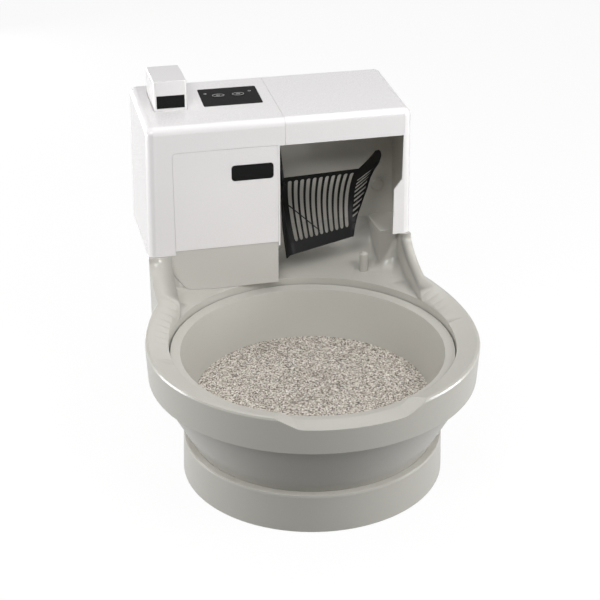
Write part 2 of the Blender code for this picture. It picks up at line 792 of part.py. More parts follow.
def post_seat():
    """Flat seat of the water nozzle in the apron."""
    bm = rod(WATER_POST_RADIUS + GAP, APRON_FLAT_Z - WATER_POST_SEAT, APRON_FLAT_Z + CUT)
    bm.transform(Matrix.Translation((WATER_POST_X, BOWL_Y + WATER_POST_REACH, 0)))
    return bm


def base_rim(paint):
    """Rim, skirt, shoulders and the tower's seat, moulded in one and hollow from below."""
    shape = fused(surround(0, SKIRT_Z), prism(tower_plan(0), SKIRT_Z, SEAM_Z))
    seat = TOWER_FRONT - GAP
    chamfered = prism(front_outline(-GAP, SEAM_Z + CUT), seat, HOPPER_FRONT, "Y")
    shape = cut(shape, well_cutter(0, SKIRT_Z - CUT), apron_cutter(0), hopper_pocket(0, HOPPER_FRONT - GAP),
                chamfered, front_lip(0))
    hollow = fused(surround(WALL, SKIRT_Z - CUT), tower_room())
    hollow = cut(hollow, well_cutter(WALL, WELL_LIP_Z), apron_cutter(WALL), hopper_pocket(WALL, seat),
                 front_lip(WALL))
    impeller_way = prism(circle((IMPELLER_X, IMPELLER_Y), SHAFT_RADIUS + SHAFT_WAY),
                         HOLLOW_CEILING_Z - CUT, POCKET_FLOOR_Z + CUT)
    piece("base_rim", cut(shape, hollow, impeller_way, post_seat()), paint)


def cone_radius(z):
    """Outer radius of the tub at a height on its cone."""
    return CONE_FOOT_RADIUS + CONE_DRAW * (z - CONE_FOOT_Z) / (SKIRT_Z - CONE_FOOT_Z)


def base_tub(paint):
    """Round tub under the bowl, which carries its spindle."""
    top = LIP_Z - WALL - GAP
    floor_radius = CONE_FOOT_RADIUS - CONE_FLOOR_DRAW
    profile = [
        (0, TUB_FLOOR_Z), (floor_radius - TUB_WALL, TUB_FLOOR_Z), (CONE_FOOT_RADIUS - TUB_WALL, CONE_FOOT_Z),
        (CONE_TOP_RADIUS - TUB_WALL, SKIRT_Z), (CONE_TOP_RADIUS - TUB_WALL, top), (CONE_TOP_RADIUS, top),
        (CONE_TOP_RADIUS, SKIRT_Z), (CONE_FOOT_RADIUS, CONE_FOOT_Z), (floor_radius, TUB_UNDER_Z),
        (0, TUB_UNDER_Z),
    ]
    way = prism(circle((0, PINION_Y), SHAFT_RADIUS + SHAFT_WAY), TUB_UNDER_Z - CUT, TUB_FLOOR_Z + CUT)
    piece("base_tub", cut(widened(turned(profile, (0, BOWL_Y), RIM_COUNT)), way), paint)


def pedestal_ring(paint):
    """Collar and foot ring under the tub, with a way to the tower's base at the back."""
    under = COLLAR_Z - PEDESTAL_WALL
    profile = [
        (cone_radius(COLLAR_Z) + GAP, COLLAR_Z), (COLLAR_RADIUS - COLLAR_ROUND, COLLAR_Z),
        (COLLAR_RADIUS - COLLAR_ROUND / 4, COLLAR_Z - COLLAR_ROUND / 4), (COLLAR_RADIUS, COLLAR_Z - COLLAR_ROUND),
        (FOOT_RADIUS, BASE_LIFT), (FOOT_RADIUS - PEDESTAL_WALL, BASE_LIFT), (COLLAR_RADIUS - PEDESTAL_WALL, under),
        (CONE_FOOT_RADIUS + GAP, under), (CONE_FOOT_RADIUS + GAP, CONE_FOOT_Z),
    ]
    way = block((-CABLE_WAY_HALF, CABLE_WAY_HALF), (BOWL_Y + COLLAR_RADIUS - CUT * 3, TOWER_FRONT + CUT * 3),
                (BASE_LIFT - CUT, CABLE_WAY_Z))
    shape = cut(widened(turned(profile, (0, BOWL_Y), RIM_COUNT)), plate_shape(0, BASE_LIFT - CUT, PLATE_SEAT), way)
    piece("pedestal_ring", shape, paint)


def foot_section(z, inset):
    """Outline of the tower's foot at a height, drawn in by a wall."""
    share = min((z - BASE_LIFT) / (SKIRT_Z - BASE_LIFT), 1)
    drawn = FOOT_STEP + FOOT_DRAW * (1 - share) + inset
    front_half = BASE_HALF - drawn
    back_half = BASE_BACK_HALF - drawn
    start = BOWL_Y + FOOT_START + inset
    back = TOWER_BACK - FOOT_STEP - inset
    return rounded([
        (-front_half, start, 0),
        (front_half, start, 0),
        (front_half, TOWER_FRONT, 0),
        (back_half, back, BACK_CORNER - inset),
        (-back_half, back, BACK_CORNER - inset),
        (-front_half, TOWER_FRONT, 0),
    ])


def round_form(high, low):
    """Room that the tub and the pedestal ring take up."""
    profile = [
        (0, high), (CONE_TOP_RADIUS + GAP, high), (CONE_TOP_RADIUS + GAP, SKIRT_Z),
        (cone_radius(COLLAR_Z) + GAP, COLLAR_Z + GAP), (COLLAR_RADIUS + GAP, COLLAR_Z + GAP),
        (FOOT_RADIUS + GAP, BASE_LIFT), (FOOT_RADIUS + GAP, low), (0, low),
    ]
    return widened(turned(profile, (0, BOWL_Y), RIM_COUNT))


def rear_base(paint):
    """Tower's foot, narrowing towards the floor, with the recess of the connections in its back."""
    low = BASE_LIFT - CUT
    high = SKIRT_Z + CUT
    shape = lofted([(foot_section(z, 0), z) for z in (BASE_LIFT, SKIRT_Z, high)])
    room = lofted([(foot_section(z, FOOT_WALL), z) for z in (low, SKIRT_Z, high + CUT)])
    box = block((-POCKET_HALF - WALL, POCKET_HALF + WALL), (PORT_WALL_FRONT, TOWER_BACK + CUT),
                (POCKET_LOW_Z - WALL, POCKET_HIGH_Z + WALL))
    recess = block((-POCKET_HALF, POCKET_HALF), (PORT_WALL_BACK, TOWER_BACK + CUT), (POCKET_LOW_Z, POCKET_HIGH_Z))
    ways = []
    for x in (PUMP_X, VALVE_X):
        ways.append(prism(circle((x, PORT_Z), SPIGOT_RADIUS + GAP), PORT_WALL_FRONT - CUT,
                          PORT_WALL_BACK + CUT, "Y"))
    ways.append(block((-SOCKET_HALF_X - GAP, SOCKET_HALF_X + GAP), (PORT_WALL_FRONT - CUT, PORT_WALL_BACK + CUT),
                      (PORT_Z - SOCKET_HALF_Z - GAP, PORT_Z + SOCKET_HALF_Z + GAP)))
    shape = cut(shape, round_form(high + CUT, low), cut(room, box), recess, plate_shape(0, low, PLATE_SEAT), *ways)
    piece("rear_base", shape, paint)


def plate_shape(gap, low, high):
    """Disc and tower field of the bottom plate, or of its seat."""
    radius = FOOT_RADIUS - PLATE_SIDE - gap
    disc = widened(turned([(0, high), (radius, high), (radius, low), (0, low)], (0, BOWL_Y), RIM_COUNT))
    return fused(disc, prism(foot_section(BASE_LIFT, PLATE_SIDE + gap), low, high))


def bottom_plate(paint):
    piece("bottom_plate", plate_shape(GAP, BASE_LIFT + GAP, PLATE_TOP), paint)


def feet(paint):
    reach = COLLAR_RADIUS - PAD_INSET
    angle = math.radians(PAD_ANGLE)
    front_x, front_y = reach * math.sin(angle), BOWL_Y - reach * math.cos(angle)
    back_x, back_y = BASE_BACK_HALF - PAD_BACK_SIDE, TOWER_BACK - PAD_BACK_INSET
    places = {
        "foot_front_left": (-front_x, front_y), "foot_front_right": (front_x, front_y),
        "foot_rear_left": (-back_x, back_y), "foot_rear_right": (back_x, back_y),
    }
    for name, place in places.items():
        piece(name, prism(circle(place, PAD_RADIUS), 0, BASE_LIFT), paint)


# Bowl

def bowl(paint):
    under = BOWL_FLOOR_Z - WALL
    profile = [
        (0, DOME_Z),
        (DOME_RADIUS, DOME_Z),
        (DOME_FOOT_RADIUS, BOWL_FLOOR_Z),
        (BOWL_FLOOR_RADIUS, BOWL_FLOOR_Z),
        (BOWL_FOOT_RADIUS, BOWL_FOOT_Z),
        (BOWL_BEND_RADIUS, BOWL_BEND_Z),
        (LITTER_RADIUS, LITTER_Z),
        (BOWL_EDGE_RADIUS, BOWL_EDGE_Z),
        (BOWL_FLANGE_RADIUS, BOWL_FLANGE_Z),
        (BOWL_FLANGE_RADIUS, BOWL_FLANGE_Z - WALL),
        (BOWL_EDGE_RADIUS + WALL, BOWL_EDGE_Z - WALL),
        (LITTER_RADIUS + WALL, LITTER_Z - WALL / 4),
        (BOWL_BEND_RADIUS + WALL, BOWL_BEND_Z - WALL / 2),
        (BOWL_FOOT_RADIUS + WALL / 2, BOWL_FOOT_Z - WALL),
        (BOWL_FLOOR_RADIUS, under),
        (HUB_RADIUS, under),
        (HUB_RADIUS, HUB_Z),
        (SOCKET_RADIUS, HUB_Z),
        (SOCKET_RADIUS, SOCKET_TOP_Z),
        (0, SOCKET_TOP_Z),
    ]
    piece("bowl", turned(profile, (0, BOWL_Y)), paint, (0, BOWL_Y, 0))


def litter_bed(paint):
    near = LITTER_GAP
    profile = [
        (0, LITTER_Z + near),
        (LITTER_RADIUS / 2, LITTER_Z + near),
        (LITTER_RADIUS - near, LITTER_Z),
        (BOWL_BEND_RADIUS - near, BOWL_BEND_Z + near),
        (BOWL_FOOT_RADIUS - near, BOWL_FOOT_Z + near),
        (BOWL_FLOOR_RADIUS - near, BOWL_FLOOR_Z + near),
        (DOME_FOOT_RADIUS + near, BOWL_FLOOR_Z + near),
        (DOME_RADIUS + near, DOME_Z + near),
        (0, DOME_Z + near),
    ]
    piece("litter_bed", turned(profile, (0, BOWL_Y)), paint, (0, BOWL_Y, 0))


def bowl_ring_gear(paint):
    shape = prism(moved(gear_outline(RING_TEETH, BOWL_MODULE), 0, BOWL_Y), RING_LOW_Z, RING_TOP_Z)
    bore = prism(circle((0, BOWL_Y), RING_BORE_RADIUS, TURN_COUNT), RING_LOW_Z - CUT, RING_TOP_Z + CUT)
    piece("bowl_ring_gear", cut(shape, bore), paint, (0, BOWL_Y, 0))


def bowl_pinion(paint):
    gear = prism(moved(gear_outline(PINION_TEETH, BOWL_MODULE), 0, PINION_Y), RING_LOW_Z, RING_TOP_Z)
    low = TUB_UNDER_Z - SOCKET_DEPTH
    stem = prism(circle((0, PINION_Y), SHAFT_RADIUS), low, RING_LOW_Z + WALL)
    piece("bowl_pinion", fused(gear, stem), paint, (0, PINION_Y, 0))


def bowl_gearmotor(paint):
    """Wide gear case with a narrower motor can below it."""
    top = TUB_UNDER_Z - GAP
    bore = SHAFT_RADIUS + GAP
    blind = top - SOCKET_DEPTH - WALL
    deck = top - SOCKET_DEPTH * 2
    profile = [
        (0, blind), (bore, blind), (bore, top), (BOWL_MOTOR_RADIUS, top), (BOWL_MOTOR_RADIUS, deck),
        (BOWL_MOTOR_CAN_RADIUS, deck), (BOWL_MOTOR_CAN_RADIUS, BOWL_MOTOR_Z), (0, BOWL_MOTOR_Z),
    ]
    piece("bowl_gearmotor", turned(profile, (0, PINION_Y), SMALL_COUNT), paint)


def bowl_spindle(paint):
    low = TUB_FLOOR_Z + GAP
    flange = low + SPINDLE_FLANGE
    top = SOCKET_TOP_Z - GAP
    profile = [(0, top), (SPINDLE_RADIUS, top), (SPINDLE_RADIUS, flange), (SPINDLE_FLANGE_RADIUS, flange),
               (SPINDLE_FLANGE_RADIUS, low), (0, low)]
    piece("bowl_spindle", turned(profile, (0, BOWL_Y), SMALL_COUNT * 2), paint)


def bowl_thrust_ring(paint):
    low = TUB_FLOOR_Z + SPINDLE_FLANGE + GAP * 2
    high = HUB_Z - GAP
    inner = SPINDLE_RADIUS + GAP
    profile = [(inner, high), (HUB_RADIUS, high), (HUB_RADIUS, low), (inner, low)]
    piece("bowl_thrust_ring", turned(profile, (0, BOWL_Y), SMALL_COUNT * 2), paint)


# Tower casings

def hood_block(side, inner_x, inset, low, back):
    """The tower's rounded outer form, or the hollow inside it."""
    outer_x = side * (HALF_TOWER - inset)
    radius = TOWER_ROUND - inset
    outline = rounded([
        (TOWER_FRONT + inset, low, 0),
        (back, low, 0),
        (back, top_z(back) - inset, 0),
        (TOWER_FRONT + inset, top_z(TOWER_FRONT) - inset, radius),
    ])
    bm = prism(outline, inner_x, outer_x, "X")

    def outer_edge(edge):
        ends = [vert.co for vert in edge.verts]
        at_side = all(abs(end.x - outer_x) < WELD for end in ends)
        at_low = all(abs(end.z - low) < WELD for end in ends)
        at_back = all(abs(end.y - back) < WELD for end in ends)
        return at_side and not at_low and not at_back

    return soften(bm, radius, outer_edge, ARC_COUNT)


def drafted(bm):
    """Spreads the tower's sides towards the base."""
    limit = HALF_TOWER - TOWER_ROUND - GAP * 2
    for vert in bm.verts:
        if abs(vert.co.x) > limit:
            spread = TOWER_DRAW * max(TOWER_FRONT_Z - vert.co.z, 0) / (TOWER_FRONT_Z - SEAM_Z)
            vert.co.x += math.copysign(spread, vert.co.x)
    return bm


def left_hood(paint):
    """Casing over the hopper; above the bay it reaches over to the seam."""
    low = SEAM_Z + GAP
    shape = hood_block(-1, SEAM_X - GAP / 2, 0, low, TOWER_BACK)
    bay = block((BAY_LEFT, SEAM_X + CUT), (TOWER_FRONT - CUT, BAY_BACK + WALL * 2), (low - CUT, BAND_Z))
    rear = joined(hood_block(-1, SEAM_X + CUT, WALL + GAP / 2, low - CUT, TOWER_BACK + CUT),
                  block((BAY_LEFT - WALL * 2, SEAM_X + CUT * 2), (BAY_BACK + WALL, TOWER_BACK + CUT * 2),
                        (low - CUT * 2, TOWER_BACK_Z + CUT)), "INTERSECT")
    door = rounded([
        (DOOR_LEFT, low - CUT, 0), (DOOR_RIGHT, low - CUT, 0),
        (DOOR_RIGHT, DOOR_TOP_Z, 0), (DOOR_LEFT, DOOR_TOP_Z, DOOR_ROUND),
    ])
    front = prism(door, TOWER_FRONT - CUT, TOWER_FRONT + WALL * 2, "Y")
    slot = prism(cartridge_outline(GAP * 2), CARTRIDGE_LOW_Z, CARTRIDGE_TOP_Z)
    panel = prism(panel_outline(GAP), top_z(TOWER_FRONT) - CUT, top_z(TOWER_BACK) + CUT)
    window = block((BAY_LEFT - WALL * 2, BAY_LEFT + CUT), (CHUTE_FRONT - GAP, CHUTE_BACK + GAP),
                   (CHUTE_HIGH_Z - CHUTE_WALL - GAP, CHUTE_HIGH_Z + CHUTE_HEIGHT + GAP))
    hollow = fused(hood_block(-1, BAY_LEFT - WALL, WALL, low - CUT, TOWER_BACK + CUT),
                   hood_block(-1, SEAM_X - WALL, WALL, BAND_Z + WALL, TOWER_BACK + CUT), rear)
    piece("left_hood", drafted(cut(shape, bay, hollow, front, slot, panel, window)), paint)


def right_hood(paint):
    low = SEAM_Z + GAP
    shape = hood_block(1, SEAM_X + GAP / 2, 0, low, TOWER_BACK)
    shape = cut(shape, hood_block(1, SEAM_X - CUT, WALL, low - CUT, TOWER_BACK + CUT))
    bay = [
        (SEAM_X - CUT, low - CUT), (ARM_LOW_X, low - CUT), (ARM_LOW_X, ARM_STEP_Z - ARM_STEP_DROP),
        (ARM_HIGH_X, ARM_STEP_Z), (ARM_HIGH_X, BAND_Z), (SEAM_X - CUT, BAND_Z),
    ]
    shape = cut(shape, prism(bay, TOWER_FRONT - CUT, TOWER_FRONT + WALL * 2, "Y"))
    piece("right_hood", drafted(shape), paint)


def bay_liner(paint):
    low = SEAM_Z + GAP
    left = SEAM_X + GAP
    front = TOWER_FRONT + WALL + GAP
    plan = rounded([(left, front, 0), (INNER_HALF, front, TOWER_ROUND - WALL), (INNER_HALF, BAY_BACK + WALL, 0),
                    (left, BAY_BACK + WALL, 0)])
    shape = prism(plan, low, CEILING_Z + WALL)
    room = block((left - CUT, INNER_HALF - WALL), (front - CUT, BAY_BACK), (low - CUT, CEILING_Z))
    shape = cut(shape, room)
    strip = block((BAY_LEFT + GAP, left + WALL), (BAY_BACK, BAY_BACK + WALL), (low, BAND_Z - GAP))
    front_z = BAY_BACK - BOSS_HEIGHT
    boss = laid(turned([(0, BAY_BACK + WALL / 2), (BOSS_RADIUS, BAY_BACK + WALL / 2),
                        (BOSS_RADIUS, front_z + BOSS_ROUND), (BOSS_RADIUS - BOSS_ROUND, front_z),
                        (0, front_z)], steps=SMALL_COUNT), "Y", (BOSS_X, 0, BOSS_Z))
    floor = block((BASE_HALF - PILLAR_WIDTH, INNER_HALF - WALL / 2),
                  (TOWER_FRONT + PILLAR_DEPTH, BAY_BACK + WALL / 2), (low, low + WALL))
    piece("bay_liner", drafted(fused(shape, strip, floor, boss)), paint)


def tower_deck(paint):
    """Floor plate under the hoods, with ways down into the base."""
    low = SEAM_Z + GAP
    front = TOWER_FRONT + WALL + GAP
    mid = BAY_BACK + WALL + GAP
    strip = COLUMN_WIDTH - BASE_HALF - GAP
    back = COVER_BACK - WALL - GAP
    outline = rounded([
        (-INNER_HALF, front, TOWER_ROUND - WALL), (strip, front, 0), (strip, mid, 0), (INNER_HALF, mid, 0),
        (INNER_HALF, back, 0), (-INNER_HALF, back, 0),
    ])
    shape = prism(outline, low, low + WALL)
    for x in (-DECK_HOLE_X, DECK_HOLE_X):
        way = block((x - DECK_HOLE_HALF, x + DECK_HOLE_HALF), (mid + DECK_HOLE_MARGIN, back - DECK_HOLE_MARGIN),
                    (low - CUT, low + WALL + CUT))
        shape = cut(shape, way)
    piece("tower_deck", drafted(shape), paint)


def door_outline():
    return rounded([
        (DOOR_LEFT + GAP, DOOR_LOW_Z, 0), (DOOR_RIGHT - GAP, DOOR_LOW_Z, 0),
        (DOOR_RIGHT - GAP, DOOR_TOP_Z - GAP, 0), (DOOR_LEFT + GAP, DOOR_TOP_Z - GAP, DOOR_ROUND),
    ])


def label_outline(gap):
    return rectangle((LABEL_LEFT + gap, LABEL_RIGHT - gap), (LABEL_LOW_Z + gap, LABEL_HIGH_Z - gap), LABEL_ROUND)


def front_door(paint):
    shape = prism(door_outline(), TOWER_FRONT, TOWER_FRONT + WALL, "Y")
    seat = prism(label_outline(0), TOWER_FRONT - CUT, TOWER_FRONT + LABEL_THICK + GAP, "Y")
    piece("front_door", cut(shape, seat), paint)


def door_plate(paint):
    piece("door_plate", prism(label_outline(GAP), TOWER_FRONT, TOWER_FRONT + LABEL_THICK, "Y"), paint)


def front_outline(inset, high):
    """Outline of the hopper's front, with its cut lower left corner."""
    left, right, low = FRONT_LEFT + inset, FRONT_RIGHT - inset, FRONT_LOW_Z + inset
    return [
        (left + FRONT_CHAMFER_X, low), (right, low), (right, high), (left, high), (left, low + FRONT_CHAMFER_Z),
    ]


def hopper_front(paint):
    """Grey casing below the door: front, sides and floor lip."""
    front = TOWER_FRONT + FRONT_INSET
    high = DOOR_LOW_Z - GAP
    shape = prism(front_outline(0, high), front, BRACKET_BACK, "Y")
    hollow = prism(front_outline(WALL, high + CUT), front + WALL, BRACKET_BACK + CUT, "Y")
    floor = block((FRONT_LEFT - CUT, FRONT_RIGHT - WALL), (HOPPER_FRONT - GAP, BRACKET_BACK + CUT),
                  (FRONT_LOW_Z - CUT, high + CUT))
    shaft_way = prism(circle((SHOULDER_Y, SHOULDER_Z), BUSH_RADIUS), FRONT_RIGHT - WALL * 2,
                      FRONT_RIGHT + CUT, "X")
    side = block((FRONT_RIGHT - WALL * 2, FRONT_RIGHT + CUT), (HOPPER_FRONT - GAP, BRACKET_BACK + CUT),
                 (SEAM_Z, high + CUT))
    corner = block((FRONT_LEFT - CUT, DOOR_LEFT + GAP), (front - CUT, BRACKET_BACK + CUT), (SEAM_Z, high + CUT))
    piece("hopper_front", cut(shape, hollow, floor, shaft_way, side, corner), paint)


def rear_cover(paint):
    low = SEAM_Z + GAP
    high = top_z(COVER_BACK) - WALL - GAP * 2
    front = COVER_BACK - WALL
    outline = rounded([
        (-INNER_HALF, low, 0), (INNER_HALF, low, 0), (INNER_HALF, high, COVER_ROUND),
        (-INNER_HALF, high, COVER_ROUND),
    ])
    shape = prism(outline, front, COVER_BACK, "Y")
    for index in range(LOUVRE_COUNT):
        z = BLOWER_Z + (index - (LOUVRE_COUNT - 1) / 2) * LOUVRE_PITCH
        slot = block((BLOWER_X - LOUVRE_HALF, BLOWER_X + LOUVRE_HALF), (front - CUT, COVER_BACK + CUT),
                     (z - LOUVRE_HEIGHT / 2, z + LOUVRE_HEIGHT / 2))
        shape = cut(shape, slot)
    for x, z in screw_places():
        hole = prism(circle((x, z), SCREW_SHANK_RADIUS + GAP, SMALL_COUNT // 2), front - CUT, COVER_BACK + CUT, "Y")
        shape = cut(shape, hole)
    piece("rear_cover", drafted(shape), paint)


def screw_places():
    x = INNER_HALF - SCREW_INSET
    low = SEAM_Z + SCREW_INSET
    high = top_z(COVER_BACK) - WALL - SCREW_INSET
    return [(-x, low), (x, low), (x, high), (-x, high)]


def rear_screws(paint):
    for index, (x, z) in enumerate(screw_places(), 1):
        head = COVER_BACK + GAP
        profile = [(0, head + SCREW_HEAD), (SCREW_RADIUS / 2, head + SCREW_HEAD), (SCREW_RADIUS, head + SCREW_HEAD / 3),
                   (SCREW_RADIUS, head), (SCREW_SHANK_RADIUS, head), (SCREW_SHANK_RADIUS, head - SCREW_LENGTH),
                   (0, head - SCREW_LENGTH)]
        shape = laid(turned(profile, steps=SMALL_COUNT // 2), "Y", (x, 0, z))
        piece(f"rear_screw_{index}", shape, paint)


# Control panel and cartridge

def panel_outline(gap):
    left, right = PANEL_LEFT - gap, PANEL_RIGHT + gap
    return rounded([
        (left, PANEL_FRONT - gap, PANEL_ROUND), (right, PANEL_FRONT - gap, PANEL_ROUND),
        (right + PANEL_SKEW, PANEL_BACK + gap, PANEL_ROUND), (left + PANEL_SKEW, PANEL_BACK + gap, PANEL_ROUND),
    ])


def button_outline(x, gap):
    half, side = BUTTON_LENGTH / 2 + gap, BUTTON_WIDTH / 2 + gap
    return rectangle((x - half, x + half), (BUTTON_Y - side, BUTTON_Y + side), side - GAP)


def control_panel(paint):
    shape = follow_top(prism(panel_outline(0), -PANEL_THICK, 0))
    for x in (BUTTON_LEFT_X, BUTTON_RIGHT_X):
        shape = cut(shape, follow_top(prism(button_outline(x, GAP), -CUT, CUT)))
    piece("control_panel", shape, paint)


def buttons(paint):
    for name, x in (("button_left", BUTTON_LEFT_X), ("button_right", BUTTON_RIGHT_X)):
        shape = follow_top(prism(button_outline(x, 0), -BUTTON_DEEP, BUTTON_PROUD))
        piece(name, shape, paint, (x, BUTTON_Y, top_z(BUTTON_Y)))


def control_board(paint):
    """Board under the panel, hung from the hood on four posts."""
    x = (PANEL_LEFT - BOARD_MARGIN, PANEL_RIGHT + BOARD_MARGIN)
    y = (PANEL_FRONT - BOARD_MARGIN, PANEL_BACK + BOARD_MARGIN)
    shape = follow_top(prism(rectangle(x, y), -BOARD_DROP - BOARD_THICK, -BOARD_DROP))
    inset = BOARD_MARGIN / 2
    for px in (x[0] + inset, x[1] - inset):
        for py in (y[0] + inset, y[1] - inset):
            post = prism(circle((px, py), POST_RADIUS, SMALL_COUNT // 2), -BOARD_DROP - BOARD_THICK / 2, -WALL - GAP)
            shape = fused(shape, follow_top(post))
    chip_half = CHIP_HALF
    middle = (x[0] + x[1]) / 2
    chip = prism(rectangle((middle - chip_half, middle + chip_half), (y[0] + chip_half, y[0] + chip_half * 3)),
                 -BOARD_DROP - CHIP_HEIGHT - BOARD_THICK, -BOARD_DROP - BOARD_THICK / 2)
    piece("control_board", fused(shape, follow_top(chip)), paint)


def cartridge_outline(gap):
    return rectangle((CARTRIDGE_LEFT - gap, CARTRIDGE_RIGHT + gap), (CARTRIDGE_FRONT - gap, CARTRIDGE_BACK + gap),
                     CARTRIDGE_ROUND)


def cartridge_middle():
    return (CARTRIDGE_LEFT + CARTRIDGE_RIGHT) / 2, (CARTRIDGE_FRONT + CARTRIDGE_BACK) / 2


def cartridge(paint):
    shape = prism(cartridge_outline(0), CARTRIDGE_LOW_Z, CARTRIDGE_TOP_Z)
    shape = soften(shape, CARTRIDGE_ROUND / 2, lambda edge: all(
        abs(vert.co.z - CARTRIDGE_TOP_Z) < WELD for vert in edge.verts), 2)
    nozzle = prism(circle(cartridge_middle(), NOZZLE_RADIUS), CARTRIDGE_LOW_Z - NOZZLE_LENGTH,
                   CARTRIDGE_LOW_Z + WALL)
    seat = block(*cartridge_label_box(GAP, CUT))
    piece("cartridge", cut(fused(shape, nozzle), seat), paint)


def cartridge_label_box(gap, proud):
    """Field on the cartridge's front, just above the hood."""
    base = top_z(CARTRIDGE_FRONT)
    inset = CARTRIDGE_ROUND + GAP
    return ((CARTRIDGE_LEFT + inset - gap, CARTRIDGE_RIGHT - inset + gap),
            (CARTRIDGE_FRONT - proud, CARTRIDGE_FRONT + LABEL_THICK + gap),
            (base + CARTRIDGE_LABEL_LOW - gap, base + CARTRIDGE_LABEL_HIGH + gap))


def cartridge_label(paint):
    piece("cartridge_label", block(*cartridge_label_box(0, 0)), paint)


def cartridge_dock(paint):
    """Socket under the hood that holds the cartridge upright over the dosing pump."""
    gap = GAP * 2
    outer = gap + DOCK_WALL
    x = (CARTRIDGE_LEFT - outer, CARTRIDGE_RIGHT + outer)
    y = (CARTRIDGE_FRONT - outer, CARTRIDGE_BACK + outer)
    profile = [(y[0], DOCK_LOW_Z), (y[1], DOCK_LOW_Z), (y[1], top_z(y[1]) - WALL - GAP),
               (y[0], top_z(y[0]) - WALL - GAP)]
    shape = prism(profile, x[0], x[1], "X")
    floor = CARTRIDGE_LOW_Z - GAP
    room = prism(cartridge_outline(gap), floor, CARTRIDGE_TOP_Z)
    way = prism(circle(cartridge_middle(), NOZZLE_RADIUS + GAP), DOCK_LOW_Z - CUT, floor + CUT)
    piece("cartridge_dock", cut(shape, room, way), paint)


def dosing_pump(paint):
    x, y = cartridge_middle()
    high = DOCK_LOW_Z - GAP
    body = block((x - DOSING_HALF, x + DOSING_HALF), (y - DOSING_HALF, y + DOSING_HALF),
                 (high - DOSING_HEIGHT, high))
    can = laid(rod(DOSING_CAN_RADIUS, y + DOSING_HALF - WALL, y + DOSING_HALF * 2), "Y",
               (x, 0, high - DOSING_HEIGHT / 2))
    piece("dosing_pump", fused(body, can), paint)


# Hopper

def hopper(paint):
    outline = rectangle((HOPPER_LEFT, HOPPER_RIGHT), (HOPPER_FRONT, HOPPER_BACK), HOPPER_CORNER)
    shape = prism(outline, HOPPER_LOW_Z, HOPPER_TOP_Z)
    inner = rectangle((HOPPER_LEFT + HOPPER_WALL, HOPPER_RIGHT - HOPPER_WALL),
                      (HOPPER_FRONT + HOPPER_WALL, HOPPER_BACK - HOPPER_WALL), HOPPER_CORNER - HOPPER_WALL)
    room = prism(inner, HOPPER_LOW_Z + HOPPER_FLOOR, HOPPER_TOP_Z + CUT)
    way = prism(circle((IMPELLER_X, IMPELLER_Y), SHAFT_RADIUS + SHAFT_WAY), HOPPER_LOW_Z - CUT, HOPPER_LOW_Z + CUT)
    notch = block((HOPPER_RIGHT - HOPPER_CORNER, HOPPER_RIGHT + CUT), (CHUTE_FRONT - WALL, CHUTE_BACK + WALL),
                  (CHUTE_HIGH_Z - CHUTE_DROP - CHUTE_WALL - WALL, HOPPER_TOP_Z + CUT))
    piece("hopper", cut(shape, room, way, notch), paint)


def waste_chute(paint):
    """Open trough that leads from the bay into the hopper."""
    right = BAY_LEFT - GAP
    level = right - WALL * 3
    outer = [(CHUTE_FRONT, -CHUTE_WALL), (CHUTE_BACK, -CHUTE_WALL), (CHUTE_BACK, CHUTE_HEIGHT),
             (CHUTE_BACK - CHUTE_WALL, CHUTE_HEIGHT), (CHUTE_BACK - CHUTE_WALL, 0), (CHUTE_FRONT + CHUTE_WALL, 0),
             (CHUTE_FRONT + CHUTE_WALL, CHUTE_HEIGHT), (CHUTE_FRONT, CHUTE_HEIGHT)]
    bm = prism(outer, CHUTE_LEFT, right, "X")
    for vert in bm.verts:
        if vert.co.x < level:
            vert.co.z -= CHUTE_DROP
        vert.co.z += CHUTE_HIGH_Z
    cut_plane = bmesh.ops.bisect_plane(bm, geom=bm.verts[:] + bm.edges[:] + bm.faces[:],
                                       plane_co=(level, 0, 0), plane_no=(1, 0, 0))["geom_cut"]
    slope = CHUTE_DROP / (right - CHUTE_LEFT)
    for item in cut_plane:
        if isinstance(item, bmesh.types.BMVert):
            item.co.z += slope * (right - level)
    piece("waste_chute", bm, paint)


def impeller(paint):
    low = HOPPER_LOW_Z + HOPPER_FLOOR + SHAFT_WAY
    outline = moved(paddle_outline(IMPELLER_BLADES, IMPELLER_HUB, IMPELLER_TIP, IMPELLER_BLADE),
                    IMPELLER_X, IMPELLER_Y)
    shape = prism(outline, low, low + IMPELLER_HEIGHT)
    stem = prism(circle((IMPELLER_X, IMPELLER_Y), SHAFT_RADIUS), HOLLOW_CEILING_Z - GAP - SOCKET_DEPTH,
                 low + WALL)
    piece("impeller", fused(shape, stem), paint, (IMPELLER_X, IMPELLER_Y, 0))


def socket_motor(radius, bore, deep, high, low):
    """Motor can about the Z axis, with a blind socket for its shaft in the high end."""
    return turned([(0, high - deep), (bore, high - deep), (bore, high), (radius, high), (radius, low + radius / 4),
                   (radius * CAN_TAPER_SHARE, low), (0, low)], steps=SMALL_COUNT)


def impeller_motor(paint):
    high = HOLLOW_CEILING_Z - GAP
    bm = socket_motor(IMPELLER_MOTOR_RADIUS, SHAFT_RADIUS + GAP, SOCKET_DEPTH + WALL, high,
                      high - IMPELLER_MOTOR_LENGTH)
    bm.transform(Matrix.Translation((IMPELLER_X, IMPELLER_Y, 0)))
    piece("impeller_motor", bm, paint)


# Scoop and arm

def scoop_belly(share, across):
    """Depth and height of the scoop's back wall, from the bar at 0 to the slanting lip at 1."""
    y = SCOOP_TOP_Y + (SCOOP_LIP_Y - SCOOP_TOP_Y) * share ** 2 + SCOOP_BELLY * math.sin(math.pi * share)
    low = SCOOP_LIP_Z + SCOOP_LIP_RISE * across
    return y, SCOOP_TOP_Z + (low - SCOOP_TOP_Z) * share


